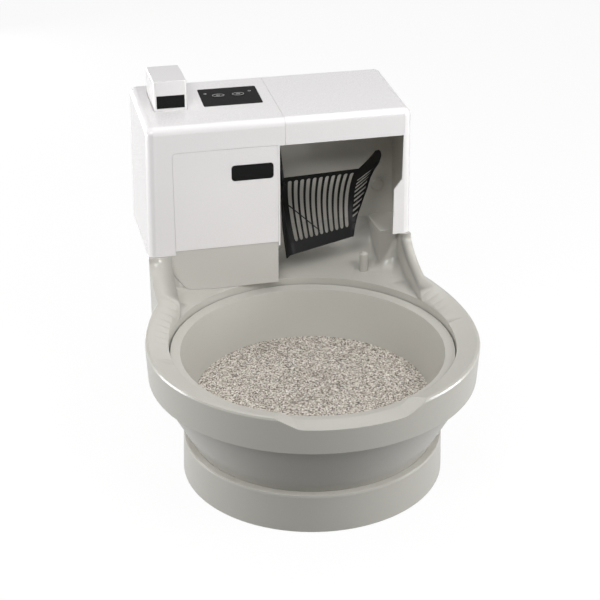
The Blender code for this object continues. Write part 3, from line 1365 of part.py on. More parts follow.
def scoop_rows():
    """Shares down the back wall at which its rows lie."""
    height = SCOOP_TOP_Z - SCOOP_LIP_Z
    first = SCOOP_BAR_HEIGHT / height
    last = 1 - SCOOP_LIP_LENGTH / height
    return [0.0] + [first + (last - first) * i / (SCOOP_ROWS - 1) for i in range(SCOOP_ROWS)] + [1.0]


def scoop_columns():
    """Shares across the back wall, with three lines to each slot: two sides and a middle."""
    pitch = 1.0 / SCOOP_SLOTS
    solid = pitch * (1 - SCOOP_SLOT_SHARE)
    columns = [(0.0, False)]
    for index in range(SCOOP_SLOTS):
        start = index * pitch + solid / 2
        columns += [(start, True), (start + (pitch - solid) / 2, True), (start + pitch - solid, False)]
    columns.append((1.0, False))
    return columns


def scoop_sheet():
    """Back wall, flared wing on the right and side wall on the left, with the slots left open."""
    bm = bmesh.new()
    rows = scoop_rows()
    columns = scoop_columns()
    grid = []
    for row, share in enumerate(rows):
        y, z = scoop_belly(share, 0)
        right = SCOOP_BAR_RIGHT + (SCOOP_LIP_RIGHT - SCOOP_BAR_RIGHT) * share
        line = []
        for index in range(2, 0, -1):
            line.append((SCOOP_LEFT, y - SCOOP_SIDE_REACH * (1 - share * SIDE_NARROW_SHARE) * index / 2, z))
        for column, (across, in_slot) in enumerate(columns):
            lift = 0.0
            if row == 1 and in_slot and not columns[column - 1][1]:
                lift = -SCOOP_ARCH
            if row == 1 and not in_slot and columns[column - 1][1]:
                lift = -SCOOP_ARCH
            line.append((SCOOP_LEFT + (right - SCOOP_LEFT) * across, y, scoop_belly(share, across)[1] + lift))
        z = scoop_belly(share, 1)[1]
        for index in range(1, WING_COLUMNS + 1):
            bend = index / WING_COLUMNS
            fade = (1 - share) ** WING_FADE_POWER
            line.append((
                right + (SCOOP_TIP_X - SCOOP_BAR_RIGHT) * fade * bend ** WING_OUT_POWER,
                y + (SCOOP_TIP_Y - SCOOP_TOP_Y) * fade * bend ** WING_AHEAD_POWER - SCOOP_SHEET * bend,
                z + (SCOOP_TIP_Z - SCOOP_TOP_Z) * fade * bend ** WING_UP_POWER,
            ))
        grid.append([bm.verts.new(point) for point in line])
    first_back = 2
    for row in range(len(rows) - 1):
        for column in range(len(grid[0]) - 1):
            back = column - first_back
            in_bars = row == 0 or row == len(rows) - 2
            slot = 0 <= back < len(columns) - 1 and columns[back][1]
            wing = back - (len(columns) - 1)
            wing_slot = wing >= 0 and wing % 2 == 1 and wing < WING_COLUMNS - 1 and row < len(rows) - 3
            if not in_bars and (slot or wing_slot):
                continue
            bm.faces.new((grid[row][column], grid[row][column + 1], grid[row + 1][column + 1],
                          grid[row + 1][column]))
    loose = [vert for vert in bm.verts if not vert.link_faces]
    bmesh.ops.delete(bm, geom=loose, context="VERTS")
    return bm


def solidified(bm, thick):
    """A sheet given its thickness by a Solidify modifier."""
    mesh = bpy.data.meshes.new("sheet")
    bm.to_mesh(mesh)
    bm.free()
    item = bpy.data.objects.new("sheet", mesh)
    bpy.context.scene.collection.objects.link(item)
    change = item.modifiers.new("thickness", "SOLIDIFY")
    change.thickness = thick
    change.offset = 0
    result = bmesh.new()
    result.from_object(item, bpy.context.evaluated_depsgraph_get())
    bpy.data.objects.remove(item, do_unlink=True)
    bmesh.ops.recalc_face_normals(result, faces=result.faces)
    return result


def capsule(start, end, first, last):
    """Outline of two discs of unlike radius and the straight sides between them."""
    axis = Vector(end) - Vector(start)
    heading = math.atan2(axis.y, axis.x)
    lean = math.acos((first - last) / axis.length)
    outline = []
    for centre, radius, begin, sweep in ((start, first, lean, math.tau - 2 * lean), (end, last, -lean, 2 * lean)):
        for step in range(SMALL_COUNT // 2 + 1):
            angle = heading + begin + sweep * step / (SMALL_COUNT // 2)
            outline.append((centre[0] + radius * math.cos(angle), centre[1] + radius * math.sin(angle)))
    return outline


def scoop(paint):
    shape = solidified(scoop_sheet(), SCOOP_SHEET)
    left = SCOOP_LEFT - SCOOP_SHEET / 2
    ear = prism(capsule((SHOULDER_Y, ELBOW_Z), (SCOOP_TOP_Y - ARM_END_RADIUS / 2, SCOOP_TOP_Z - ARM_END_RADIUS),
                        ARM_END_RADIUS, ARM_END_RADIUS), left - GAP, left + SCOOP_SHEET + GAP, "X")
    hole = prism(circle((SHOULDER_Y, ELBOW_Z), PIN_RADIUS + GAP), left - CUT, left + CUT, "X")
    piece("scoop", cut(fused(shape, ear), hole), paint, (0, SHOULDER_Y, ELBOW_Z))


def scoop_pin(paint):
    right = SCOOP_LEFT + SCOOP_SHEET / 2 + GAP * 2
    profile = [(0, right + PIN_HEAD), (PIN_HEAD_RADIUS, right + PIN_HEAD), (PIN_HEAD_RADIUS, right),
               (PIN_RADIUS, right), (PIN_RADIUS, ARM_LEFT), (0, ARM_LEFT)]
    shape = laid(turned(profile, steps=SMALL_COUNT), "X", (0, SHOULDER_Y, ELBOW_Z))
    piece("scoop_pin", shape, paint, (0, SHOULDER_Y, ELBOW_Z))


def scoop_arm(paint):
    shape = prism(capsule((SHOULDER_Y, SHOULDER_Z), (SHOULDER_Y, ELBOW_Z), ARM_HUB_RADIUS, ARM_END_RADIUS),
                  ARM_LEFT, ARM_LEFT + ARM_THICK, "X")
    bores = [
        prism(circle((SHOULDER_Y, SHOULDER_Z), SCOOP_SHAFT_RADIUS + GAP), ARM_LEFT - CUT,
              ARM_LEFT + ARM_THICK + CUT, "X"),
        prism(circle((SHOULDER_Y, ELBOW_Z), PIN_RADIUS + GAP), ARM_LEFT - CUT, ARM_LEFT + ARM_THICK + CUT, "X"),
        prism(capsule((SHOULDER_Y, SHOULDER_Z + ARM_HUB_RADIUS * 2), (SHOULDER_Y, ELBOW_Z - ARM_END_RADIUS * 2),
                      ARM_SLOT_HALF, ARM_SLOT_HALF), ARM_LEFT - CUT, ARM_LEFT + ARM_THICK + CUT, "X"),
    ]
    piece("scoop_arm", cut(shape, *bores), paint, (0, SHOULDER_Y, SHOULDER_Z))


def scoop_shaft(paint):
    shape = laid(rod(SCOOP_SHAFT_RADIUS, BRACKET_LEFT - WALL, ARM_LEFT + ARM_THICK), "X",
                 (0, SHOULDER_Y, SHOULDER_Z))
    piece("scoop_shaft", shape, paint, (0, SHOULDER_Y, SHOULDER_Z))


def scoop_gear(paint):
    outline = moved(gear_outline(SCOOP_GEAR_TEETH, SCOOP_MODULE), SHOULDER_Y, SHOULDER_Z)
    shape = prism(outline, SCOOP_GEAR_LEFT, SCOOP_GEAR_LEFT + SCOOP_GEAR_WIDTH, "X")
    bore = prism(circle((SHOULDER_Y, SHOULDER_Z), SCOOP_SHAFT_RADIUS + GAP), SCOOP_GEAR_LEFT - CUT,
                 SCOOP_GEAR_LEFT + SCOOP_GEAR_WIDTH + CUT, "X")
    piece("scoop_gear", cut(shape, bore), paint, (0, SHOULDER_Y, SHOULDER_Z))


def scoop_pinion(paint):
    outline = moved(gear_outline(SCOOP_PINION_TEETH, SCOOP_MODULE, 0.5), SHOULDER_Y, SCOOP_PINION_Z)
    shape = prism(outline, SCOOP_GEAR_LEFT, SCOOP_GEAR_LEFT + SCOOP_GEAR_WIDTH, "X")
    stem = laid(rod(SHAFT_RADIUS, BRACKET_LEFT - SOCKET_DEPTH, SCOOP_GEAR_LEFT + WALL), "X",
                (0, SHOULDER_Y, SCOOP_PINION_Z))
    piece("scoop_pinion", fused(shape, stem), paint, (0, SHOULDER_Y, SCOOP_PINION_Z))


def scoop_gearmotor(paint):
    right = BRACKET_LEFT - GAP
    bm = socket_motor(SCOOP_MOTOR_RADIUS, SHAFT_RADIUS + GAP, SOCKET_DEPTH + WALL, right,
                      right - SCOOP_MOTOR_LENGTH)
    piece("scoop_gearmotor", laid(bm, "X", (0, SHOULDER_Y, SCOOP_PINION_Z)), paint)


def drive_bracket(paint):
    """U of sheet that carries the scoop's shaft and motor."""
    low = POCKET_FLOOR_Z + GAP
    high = SCOOP_PINION_Z + BRACKET_HEAD
    left, right, sheet = BRACKET_LEFT, BRACKET_RIGHT, BRACKET_SHEET
    outline = [(left, low), (right, low), (right, high), (right - sheet, high), (right - sheet, low + sheet),
               (left + sheet, low + sheet), (left + sheet, high), (left, high)]
    shape = prism(outline, BRACKET_FRONT, BRACKET_BACK, "Y")
    shaft_way = prism(circle((SHOULDER_Y, SHOULDER_Z), BUSH_RADIUS), left - CUT, right + CUT, "X")
    pinion_way = prism(circle((SHOULDER_Y, SCOOP_PINION_Z), SHAFT_RADIUS + SHAFT_WAY), left - CUT,
                       left + sheet + GAP, "X")
    piece("drive_bracket", cut(shape, shaft_way, pinion_way), paint)


def shaft_bushes(paint):
    starts = {"shaft_bush_left": BRACKET_LEFT, "shaft_bush_right": BRACKET_RIGHT - BRACKET_SHEET}
    for name, start in starts.items():
        shape = laid(tube(BUSH_RADIUS - GAP, SCOOP_SHAFT_RADIUS + GAP, start, start + BRACKET_SHEET), "X",
                     (0, SHOULDER_Y, SHOULDER_Z))
        piece(name, shape, paint)


# Blower

def blower_motor(paint):
    front = BAY_BACK + WALL + GAP
    bm = socket_motor(BLOWER_MOTOR_RADIUS, SHAFT_RADIUS + GAP, SOCKET_DEPTH + WALL, front + BLOWER_MOTOR_LENGTH,
                      front)
    piece("blower_motor", laid(bm, "Y", (BLOWER_X, 0, BLOWER_Z)), paint)


def blower_front():
    return BAY_BACK + WALL + GAP * 2 + BLOWER_MOTOR_LENGTH


def blower_housing(paint):
    """Round scroll open to the louvres, with a spout down to the deck."""
    front = blower_front()
    back = front + BLOWER_LENGTH
    deck = SEAM_Z + GAP * 2 + WALL
    inside = BLOWER_RADIUS - BLOWER_WALL
    half = SPOUT_HALF - BLOWER_WALL
    outer = fused(
        laid(rod(BLOWER_RADIUS, front, back, SMALL_COUNT * 2), "Y", (BLOWER_X, 0, BLOWER_Z)),
        block((BLOWER_X - SPOUT_HALF, BLOWER_X + SPOUT_HALF), (front, back), (deck, BLOWER_Z)),
    )
    inner = fused(
        laid(rod(inside, front + BLOWER_WALL, back + CUT, SMALL_COUNT * 2), "Y", (BLOWER_X, 0, BLOWER_Z)),
        block((BLOWER_X - half, BLOWER_X + half), (front + BLOWER_WALL, back - BLOWER_WALL), (deck - CUT, BLOWER_Z)),
    )
    eye = prism(circle((BLOWER_X, BLOWER_Z), SHAFT_RADIUS + SHAFT_WAY), front - CUT, front + CUT, "Y")
    piece("blower_housing", cut(outer, inner, eye), paint)


def blower_fan(paint):
    front = blower_front() + BLOWER_WALL + SHAFT_WAY
    outline = moved(paddle_outline(FAN_BLADES, FAN_HUB, FAN_RADIUS, FAN_BLADE), BLOWER_X, BLOWER_Z)
    shape = prism(outline, front + FAN_BLADE / 2, front + FAN_LENGTH, "Y")
    disc = prism(circle((BLOWER_X, BLOWER_Z), FAN_RADIUS + FAN_BLADE / 2, SMALL_COUNT * 2), front,
                 front + FAN_BLADE, "Y")
    stem = prism(circle((BLOWER_X, BLOWER_Z), SHAFT_RADIUS), blower_front() - GAP - SOCKET_DEPTH,
                 front + FAN_BLADE / 2, "Y")
    piece("blower_fan", fused(shape, disc, stem), paint, (BLOWER_X, 0, BLOWER_Z))


# Plumbing and power

def drain_pump(paint):
    """Volute and motor can, standing on the bottom plate."""
    back = PORT_WALL_FRONT - SPIGOT_FLANGE - GAP * 2
    front = back - PUMP_LENGTH
    volute = laid(rod(PUMP_RADIUS, front + PUMP_LENGTH / 2, back, SMALL_COUNT), "Y", (PUMP_X, 0, PORT_Z))
    can = laid(rod(PUMP_CAN_RADIUS, front - CUT, back - WALL, SMALL_COUNT), "Y", (PUMP_X, 0, PORT_Z))
    stand = block((PUMP_X - PUMP_CAN_RADIUS, PUMP_X + PUMP_CAN_RADIUS), (front + PUMP_LENGTH / 2 + WALL, back - WALL),
                  (PLATE_TOP + GAP, PORT_Z))
    piece("drain_pump", fused(volute, can, stand), paint)


def drain_outlet(paint):
    """Hose spigot of the drain, through the rear recess's wall."""
    front = PORT_WALL_FRONT - SPIGOT_FLANGE - GAP
    back = PORT_WALL_BACK + SPIGOT_PROUD
    profile = [
        (SPIGOT_BORE, back), (SPIGOT_RADIUS - WALL / 3, back), (SPIGOT_RADIUS, back - WALL),
        (SPIGOT_RADIUS, PORT_WALL_FRONT - GAP), (SPIGOT_FLANGE_RADIUS, PORT_WALL_FRONT - GAP),
        (SPIGOT_FLANGE_RADIUS, front), (SPIGOT_BORE, front),
    ]
    piece("drain_outlet", laid(turned(profile, steps=SMALL_COUNT), "Y", (PUMP_X, 0, PORT_Z)), paint)


def water_valve(paint):
    """Solenoid valve body with its threaded inlet through the rear recess's wall."""
    back = PORT_WALL_FRONT - GAP
    body = block((VALVE_X - VALVE_HALF, VALVE_X + VALVE_HALF), (back - VALVE_LENGTH, back),
                 (PLATE_TOP + GAP, VALVE_TOP_Z))
    spigot = laid(rod(SPIGOT_RADIUS, back - WALL, PORT_WALL_BACK + SPIGOT_PROUD), "Y", (VALVE_X, 0, PORT_Z))
    bore = laid(rod(SPIGOT_BORE, back - WALL, PORT_WALL_BACK + SPIGOT_PROUD + CUT), "Y", (VALVE_X, 0, PORT_Z))
    piece("water_valve", cut(fused(body, spigot), bore), paint)


def power_inlet(paint):
    """Low voltage socket in the rear recess."""
    flange = PORT_WALL_BACK + GAP
    back = flange + SOCKET_FLANGE_THICK
    hx, hz = SOCKET_HALF_X, SOCKET_HALF_Z
    plate = block((-hx - SOCKET_FLANGE, hx + SOCKET_FLANGE), (flange, back),
                  (PORT_Z - hz - SOCKET_FLANGE, PORT_Z + hz + SOCKET_FLANGE))
    body = block((-hx, hx), (flange - SOCKET_BODY, back), (PORT_Z - hz, PORT_Z + hz))
    room = block((-hx + SOCKET_WALL, hx - SOCKET_WALL), (flange - SOCKET_BODY + SOCKET_WALL, back + CUT),
                 (PORT_Z - hz + SOCKET_WALL, PORT_Z + hz - SOCKET_WALL))
    piece("power_inlet", cut(fused(plate, body), room), paint)


def water_nozzle(paint):
    """Post on the apron that lets water into the bowl."""
    low = APRON_FLAT_Z - WATER_POST_SEAT + GAP
    high = low + WATER_POST_HEIGHT
    profile = [(0, high), (WATER_POST_RADIUS - WATER_POST_ROUND, high), (WATER_POST_RADIUS, high - WATER_POST_ROUND),
               (WATER_POST_RADIUS, low), (0, low)]
    bm = turned(profile, (WATER_POST_X, BOWL_Y + WATER_POST_REACH), SMALL_COUNT)
    piece("water_nozzle", bm, paint)


def build():
    clear_scene()
    white = material("white_gloss_plastic", (0.82, 0.80, 0.80), 0.25)
    greige = material("greige_plastic", (0.52, 0.50, 0.46), 0.32)
    grey = material("grey_plastic", (0.40, 0.38, 0.34), 0.45)
    black = material("black_plastic", (0.02, 0.02, 0.02), 0.35)
    dark = material("dark_nylon", (0.08, 0.08, 0.08), 0.5)
    nylon = material("white_nylon", (0.75, 0.74, 0.70), 0.5)
    rubber = material("black_rubber", (0.03, 0.03, 0.03), 0.8)
    steel = material("steel", (0.6, 0.6, 0.62), 0.3, 1.0)
    green = material("circuit_green", (0.03, 0.18, 0.08), 0.5)
    granules = material("granules", (0.46, 0.40, 0.34), 0.9)

    base_rim(greige)
    base_tub(greige)
    pedestal_ring(greige)
    rear_base(greige)
    bottom_plate(grey)
    feet(rubber)
    bowl(greige)
    litter_bed(granules)
    bowl_ring_gear(nylon)
    bowl_pinion(nylon)
    bowl_gearmotor(steel)
    bowl_spindle(dark)
    bowl_thrust_ring(nylon)

    left_hood(white)
    right_hood(white)
    bay_liner(greige)
    tower_deck(grey)
    front_door(white)
    door_plate(black)
    hopper_front(grey)
    rear_cover(grey)
    rear_screws(steel)

    control_panel(black)
    buttons(dark)
    control_board(green)
    cartridge(white)
    cartridge_label(black)
    cartridge_dock(grey)
    dosing_pump(dark)

    hopper(grey)
    waste_chute(grey)
    impeller(steel)
    impeller_motor(steel)

    scoop(black)
    scoop_pin(steel)
    scoop_arm(black)
    scoop_shaft(steel)
    scoop_gear(nylon)
    scoop_pinion(steel)
    scoop_gearmotor(steel)
    drive_bracket(steel)
    shaft_bushes(nylon)

    blower_motor(steel)
    blower_housing(dark)
    blower_fan(nylon)

    drain_pump(dark)
    drain_outlet(dark)
    water_valve(nylon)
    power_inlet(black)
    water_nozzle(greige)


build()
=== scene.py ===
"""Looks of the self cleaning litter box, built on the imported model's frame."""
import json
import math
import random

import bmesh
import bpy
import numpy as np
from mathutils import Matrix, Vector

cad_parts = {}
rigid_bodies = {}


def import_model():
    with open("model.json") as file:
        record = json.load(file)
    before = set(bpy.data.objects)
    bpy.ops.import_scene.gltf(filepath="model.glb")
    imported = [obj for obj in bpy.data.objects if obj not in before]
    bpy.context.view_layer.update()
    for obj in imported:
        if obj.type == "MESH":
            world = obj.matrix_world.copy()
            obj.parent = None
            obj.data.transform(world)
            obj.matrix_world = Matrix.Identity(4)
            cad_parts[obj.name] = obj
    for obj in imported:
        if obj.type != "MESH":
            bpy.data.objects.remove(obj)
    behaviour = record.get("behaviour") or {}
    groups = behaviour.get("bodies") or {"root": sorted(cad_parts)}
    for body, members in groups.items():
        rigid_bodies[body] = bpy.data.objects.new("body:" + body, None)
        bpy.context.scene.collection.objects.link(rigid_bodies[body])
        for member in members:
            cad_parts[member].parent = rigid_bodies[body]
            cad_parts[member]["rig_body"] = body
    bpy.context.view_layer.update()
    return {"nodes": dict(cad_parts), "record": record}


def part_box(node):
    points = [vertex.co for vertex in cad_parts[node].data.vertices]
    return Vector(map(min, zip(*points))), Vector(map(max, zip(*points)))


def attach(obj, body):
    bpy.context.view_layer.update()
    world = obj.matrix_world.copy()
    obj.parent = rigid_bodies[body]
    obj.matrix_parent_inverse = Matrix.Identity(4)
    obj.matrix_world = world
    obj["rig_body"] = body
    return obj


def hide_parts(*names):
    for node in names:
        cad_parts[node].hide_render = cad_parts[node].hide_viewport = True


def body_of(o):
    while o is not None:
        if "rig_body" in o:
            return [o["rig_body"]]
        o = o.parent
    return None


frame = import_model()


class Wire:
    """A socket in a node tree; arithmetic on it adds Math nodes."""

    def __init__(self, web, socket):
        self.web = web
        self.socket = socket

    def maths(self, operation, first, second=0.0):
        return self.web.node("ShaderNodeMath", {"operation": operation}, {0: first, 1: second})

    def __add__(self, other):
        return self.maths("ADD", self, other)

    def __sub__(self, other):
        return self.maths("SUBTRACT", self, other)

    def __rsub__(self, other):
        return self.maths("SUBTRACT", other, self)

    def __mul__(self, other):
        return self.maths("MULTIPLY", self, other)

    __radd__ = __add__
    __rmul__ = __mul__


class Web:
    """A node tree, with one method that adds any node."""

    def __init__(self, tree):
        self.tree = tree

    def node(self, kind, settings=None, sockets=None, output=0):
        made = self.tree.nodes.new(kind)
        for key, value in (settings or {}).items():
            if key == "stops":
                ramp = made.color_ramp.elements
                while len(ramp) < len(value):
                    ramp.new(0.5)
                for stop, (position, colour) in zip(ramp, value):
                    stop.position = position
                    stop.color = (*colour, 1.0)
            else:
                setattr(made, key, value)
        for key, value in (sockets or {}).items():
            self.feed(made.inputs[key], value)
        return Wire(self, made.outputs[output])

    def feed(self, socket, value):
        if isinstance(value, Wire):
            self.tree.links.new(value.socket, socket)
        elif hasattr(value, "__len__") and len(value) == 3 and socket.type == "RGBA":
            socket.default_value = (*value, 1.0)
        else:
            socket.default_value = value


class Finish(Web):
    """One procedural material."""

    def __init__(self, name):
        self.material = bpy.data.materials.new(name)
        self.material.use_nodes = True
        super().__init__(self.material.node_tree)
        self.shader = self.tree.nodes["Principled BSDF"]

    def surface(self, **values):
        for key, value in values.items():
            self.feed(self.shader.inputs[key.replace("_", " ")], value)

    def place(self, scale=(1, 1, 1)):
        """Object coordinates, in metres, through a Mapping node."""
        coordinates = self.node("ShaderNodeTexCoord", output=3)
        return self.node("ShaderNodeMapping", {}, {"Vector": coordinates, "Scale": scale})

    def noise(self, scale, detail=2.0, roughness=0.5, stretch=(1, 1, 1)):
        return self.node("ShaderNodeTexNoise", {}, {
            "Vector": self.place(stretch), "Scale": scale, "Detail": detail, "Roughness": roughness})

    def spread(self, value, low, high, least=0.3, most=0.7):
        """A value from least to most, noise as a rule, spread over low to high."""
        return self.node("ShaderNodeMapRange", {}, {
            "Value": value, "From Min": least, "From Max": most, "To Min": low, "To Max": high})

    def between(self, factor, first, second):
        return self.node("ShaderNodeMix", {"data_type": "RGBA"}, {0: factor, 6: first, 7: second}, 2)

    def rounded(self, radius):
        """The normal with every edge rounded, and a mask of those edges."""
        soft = self.node("ShaderNodeBevel", {"samples": 4}, {"Radius": radius})
        flat = self.node("ShaderNodeNewGeometry", output=1)
        match = self.node("ShaderNodeVectorMath", {"operation": "DOT_PRODUCT"}, {0: soft, 1: flat}, 1)
        return soft, self.spread(match, 1.0, 0.0, 0.75, 0.99)

    def bump(self, height, strength, distance, under=None):
        sockets = {"Height": height, "Strength": strength, "Distance": distance}
        if under:
            sockets["Normal"] = under
        return self.node("ShaderNodeBump", {}, sockets)


PIGMENT_SCALE = 900.0
GRAIN_SCALE = 1500.0
GRAIN_DEPTH = 0.00005
EDGE_RADIUS = 0.0006


def moulded_plastic(name, colour, shade, worn_and_highlit, roughness, coat=0.0, grain=0.10, sheen=0.5):
    """Injection moulded plastic: fine pigment speckle and grain, and edges painted a little paler, partly
    as rubbed wear and partly as a painted highlight along the rounded edges.
    """
    finish = Finish(name)
    soft, rubbed_and_highlit = finish.rounded(EDGE_RADIUS)
    speckle = finish.noise(PIGMENT_SCALE, 2.0)
    cloud = finish.between(finish.spread(speckle, 0.0, 1.0), colour, shade)
    dull = finish.spread(speckle, roughness * 0.9, roughness * 1.1)
    finish.surface(
        # Base colour paler along the edges: partly rubbed wear, partly a painted highlight on the rounded
        # edges.
        Base_Color=finish.between(rubbed_and_highlit * 0.4, cloud, worn_and_highlit),
        Roughness=dull + rubbed_and_highlit * 0.06,
        Normal=finish.bump(finish.noise(GRAIN_SCALE, 1.0), grain, GRAIN_DEPTH, soft),
        Coat_Weight=coat,
        Coat_Roughness=0.10,
        Specular_IOR_Level=sheen,
    )
    return finish.material


def brushed_metal(name, colour, roughness):
    finish = Finish(name)
    streaks = finish.noise(160.0, 3.0, 0.6, (1, 1, 14))
    finish.surface(
        Base_Color=finish.between(streaks, colour, tuple(value * 0.8 for value in colour)),
        Metallic=1.0,
        Roughness=finish.spread(streaks, roughness * 0.8, roughness * 1.3),
        Normal=finish.bump(streaks, 0.08, 0.0002),
    )
    return finish.material


GRANULE_TINTS = [
    (0.0, (0.07, 0.055, 0.045)), (0.18, (0.19, 0.16, 0.135)), (0.42, (0.44, 0.40, 0.345)),
    (0.72, (0.60, 0.555, 0.49)), (1.0, (0.86, 0.83, 0.78))]


BED_CELL_SCALE = 520.0
PORE_SCALE = 2400.0


def granule_bed_finish(name):
    """Packed granules: each cell of the bed has its own tint and a rounded top."""
    finish = Finish(name)
    cell = {"Vector": finish.place(), "Scale": BED_CELL_SCALE, "Randomness": 1.0}
    tint = finish.node("ShaderNodeSeparateColor", {}, {0: finish.node("ShaderNodeTexVoronoi", {}, cell, 1)})
    depth = finish.node("ShaderNodeTexVoronoi", {}, cell)
    finish.surface(
        Base_Color=finish.node("ShaderNodeValToRGB", {"stops": GRANULE_TINTS}, {0: tint}),
        Roughness=finish.spread(tint, 0.82, 0.96, 0.0, 1.0),
        Normal=finish.bump(1.0 - depth, 0.7, 0.0014),
    )
    return finish.material


def loose_granule_finish(name):
    """Loose granules: one tint a grain, from the mesh's own attribute, with chalky pores."""
    finish = Finish(name)
    tint = finish.node("ShaderNodeAttribute", {"attribute_name": "tint"}, {}, 2)
    pores = finish.noise(PORE_SCALE, 2.0, 0.6)
    finish.surface(
        Base_Color=finish.node("ShaderNodeValToRGB", {"stops": GRANULE_TINTS}, {0: tint + pores * 0.12}),
        Roughness=finish.spread(pores, 0.8, 0.95),
        Normal=finish.bump(pores, 0.5, 0.0002),
    )
    return finish.material


WHITE = moulded_plastic(
    "casing_white", (0.85, 0.832, 0.835), (0.83, 0.812, 0.815), (0.88, 0.865, 0.865), 0.27, coat=0.3)
GREIGE = moulded_plastic(
    "shell_greige", (0.51, 0.497, 0.455), (0.49, 0.477, 0.437), (0.60, 0.59, 0.56), 0.30, coat=0.3)
LINER = moulded_plastic(
    "liner_grey_beige", (0.56, 0.545, 0.50), (0.545, 0.53, 0.485), (0.62, 0.61, 0.58), 0.40)
GREY = moulded_plastic(
    "hopper_grey", (0.58, 0.565, 0.53), (0.56, 0.545, 0.51), (0.64, 0.63, 0.60), 0.42)
BLACK = moulded_plastic(
    "label_black", (0.006, 0.006, 0.006), (0.010, 0.010, 0.010), (0.03, 0.03, 0.03), 0.25, sheen=0.15)
SCOOP_BLACK = moulded_plastic(
    "scoop_black", (0.004, 0.004, 0.004), (0.007, 0.007, 0.007), (0.02, 0.02, 0.02), 0.38, sheen=0.15)
DARK = moulded_plastic(
    "motor_case_dark", (0.055, 0.055, 0.058), (0.075, 0.075, 0.075), (0.11, 0.11, 0.11), 0.5)
NYLON = moulded_plastic(
    "gear_nylon", (0.72, 0.71, 0.67), (0.66, 0.65, 0.61), (0.76, 0.75, 0.72), 0.48)
RUBBER = moulded_plastic(
    "foot_rubber", (0.022, 0.022, 0.022), (0.035, 0.035, 0.033), (0.06, 0.06, 0.06), 0.8, grain=0.4)
BOARD = moulded_plastic(
    "board_green", (0.02, 0.13, 0.055), (0.03, 0.17, 0.07), (0.08, 0.22, 0.12), 0.4, coat=0.2)
MARK = moulded_plastic(
    "mark_grey", (0.50, 0.50, 0.49), (0.46, 0.46, 0.45), (0.55, 0.55, 0.54), 0.5)
STEEL = brushed_metal("plain_steel", (0.58, 0.58, 0.60), 0.32)
BED = granule_bed_finish("granules_packed")
LOOSE = loose_granule_finish("granules_loose")

FINISH_OF_SLOT = {
    "white_gloss_plastic": WHITE, "greige_plastic": GREIGE, "grey_plastic": GREY, "black_plastic": BLACK,
    "dark_nylon": DARK, "white_nylon": NYLON, "black_rubber": RUBBER, "steel": STEEL,
    "circuit_green": BOARD, "granules": BED,
}
SLOT_OF_NODE = {row["node"]: row["material_slot"] for row in frame["record"]["subparts"]}
FINISH_OF_NODE = {"bay_liner": LINER, "button_left": BLACK, "button_right": BLACK}
MOULDINGS = (
    "base_rim", "base_tub", "pedestal_ring", "rear_base", "bowl", "left_hood", "right_hood", "bay_liner",
    "front_door", "hopper_front", "rear_cover", "cartridge", "scoop_arm", "water_nozzle",
    "door_plate", "cartridge_label", "control_panel", "button_left", "button_right",
)


def paint_frame():
    for node, slot in SLOT_OF_NODE.items():
        item = frame["nodes"][node]
        item.data.materials.clear()
        item.data.materials.append(FINISH_OF_NODE.get(node, FINISH_OF_SLOT[slot]))


def new_piece(name, bm, finish, body, crease=40.0):
    """A finished piece that rides on a body; faces that meet below crease degrees shade smooth."""
    mesh = bpy.data.meshes.new(name)
    bm.to_mesh(mesh)
    bm.free()
    if crease:
        mesh.shade_smooth()
        mesh.set_sharp_from_angle(angle=math.radians(crease))
    mesh.materials.append(finish)
    item = bpy.data.objects.new(name, mesh)
    bpy.context.scene.collection.objects.link(item)
    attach(item, body)
    return item


def smooth_moulding(node):
    """A merged twin of a CAD node in its place, whose curved faces shade smooth."""
    source = frame["nodes"][node]
    bm = bmesh.new()
    bm.from_mesh(source.data)
    bmesh.ops.remove_doubles(bm, verts=bm.verts, dist=0.00001)
    bmesh.ops.dissolve_limit(bm, angle_limit=math.radians(0.5), verts=bm.verts, edges=bm.edges)
    item = new_piece(node + "_surface", bm, source.data.materials[0], body_of(source)[0], 32.0)
    even = item.modifiers.new("even_shading", "WEIGHTED_NORMAL")
    even.keep_sharp = True
    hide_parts(node)
    return item


def granule_bed():
    """The granules: a level bed, and grains lying on it."""
    low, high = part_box("litter_bed")
    centre = (Vector(low) + Vector(high)) / 2
    radius = (high[0] - low[0]) / 2
    bm = bmesh.new()
    bmesh.ops.create_circle(bm, cap_ends=True, segments=96, radius=radius)
    edge = bm.edges[:]
    wall = bmesh.ops.extrude_edge_only(bm, edges=edge)["geom"]
    wall = [part for part in wall if isinstance(part, bmesh.types.BMVert)]
    bmesh.ops.translate(bm, vec=(0, 0, low[2] - high[2] + 0.02), verts=wall)
    bmesh.ops.scale(bm, vec=(0.95, 0.95, 1), verts=wall)
    bmesh.ops.holes_fill(bm, edges=bm.edges[:])
    bmesh.ops.translate(bm, vec=(centre.x, centre.y, high[2] - 0.0012), verts=bm.verts)
    bmesh.ops.recalc_face_normals(bm, faces=bm.faces)
    bed = new_piece("granule_bed", bm, BED, "bowl_rotor")
    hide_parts("litter_bed")
    loose_granules(centre, radius - 0.002, high[2])


GRAIN_SQUARE = 0.060
GRAINS_ON_SQUARE = 190


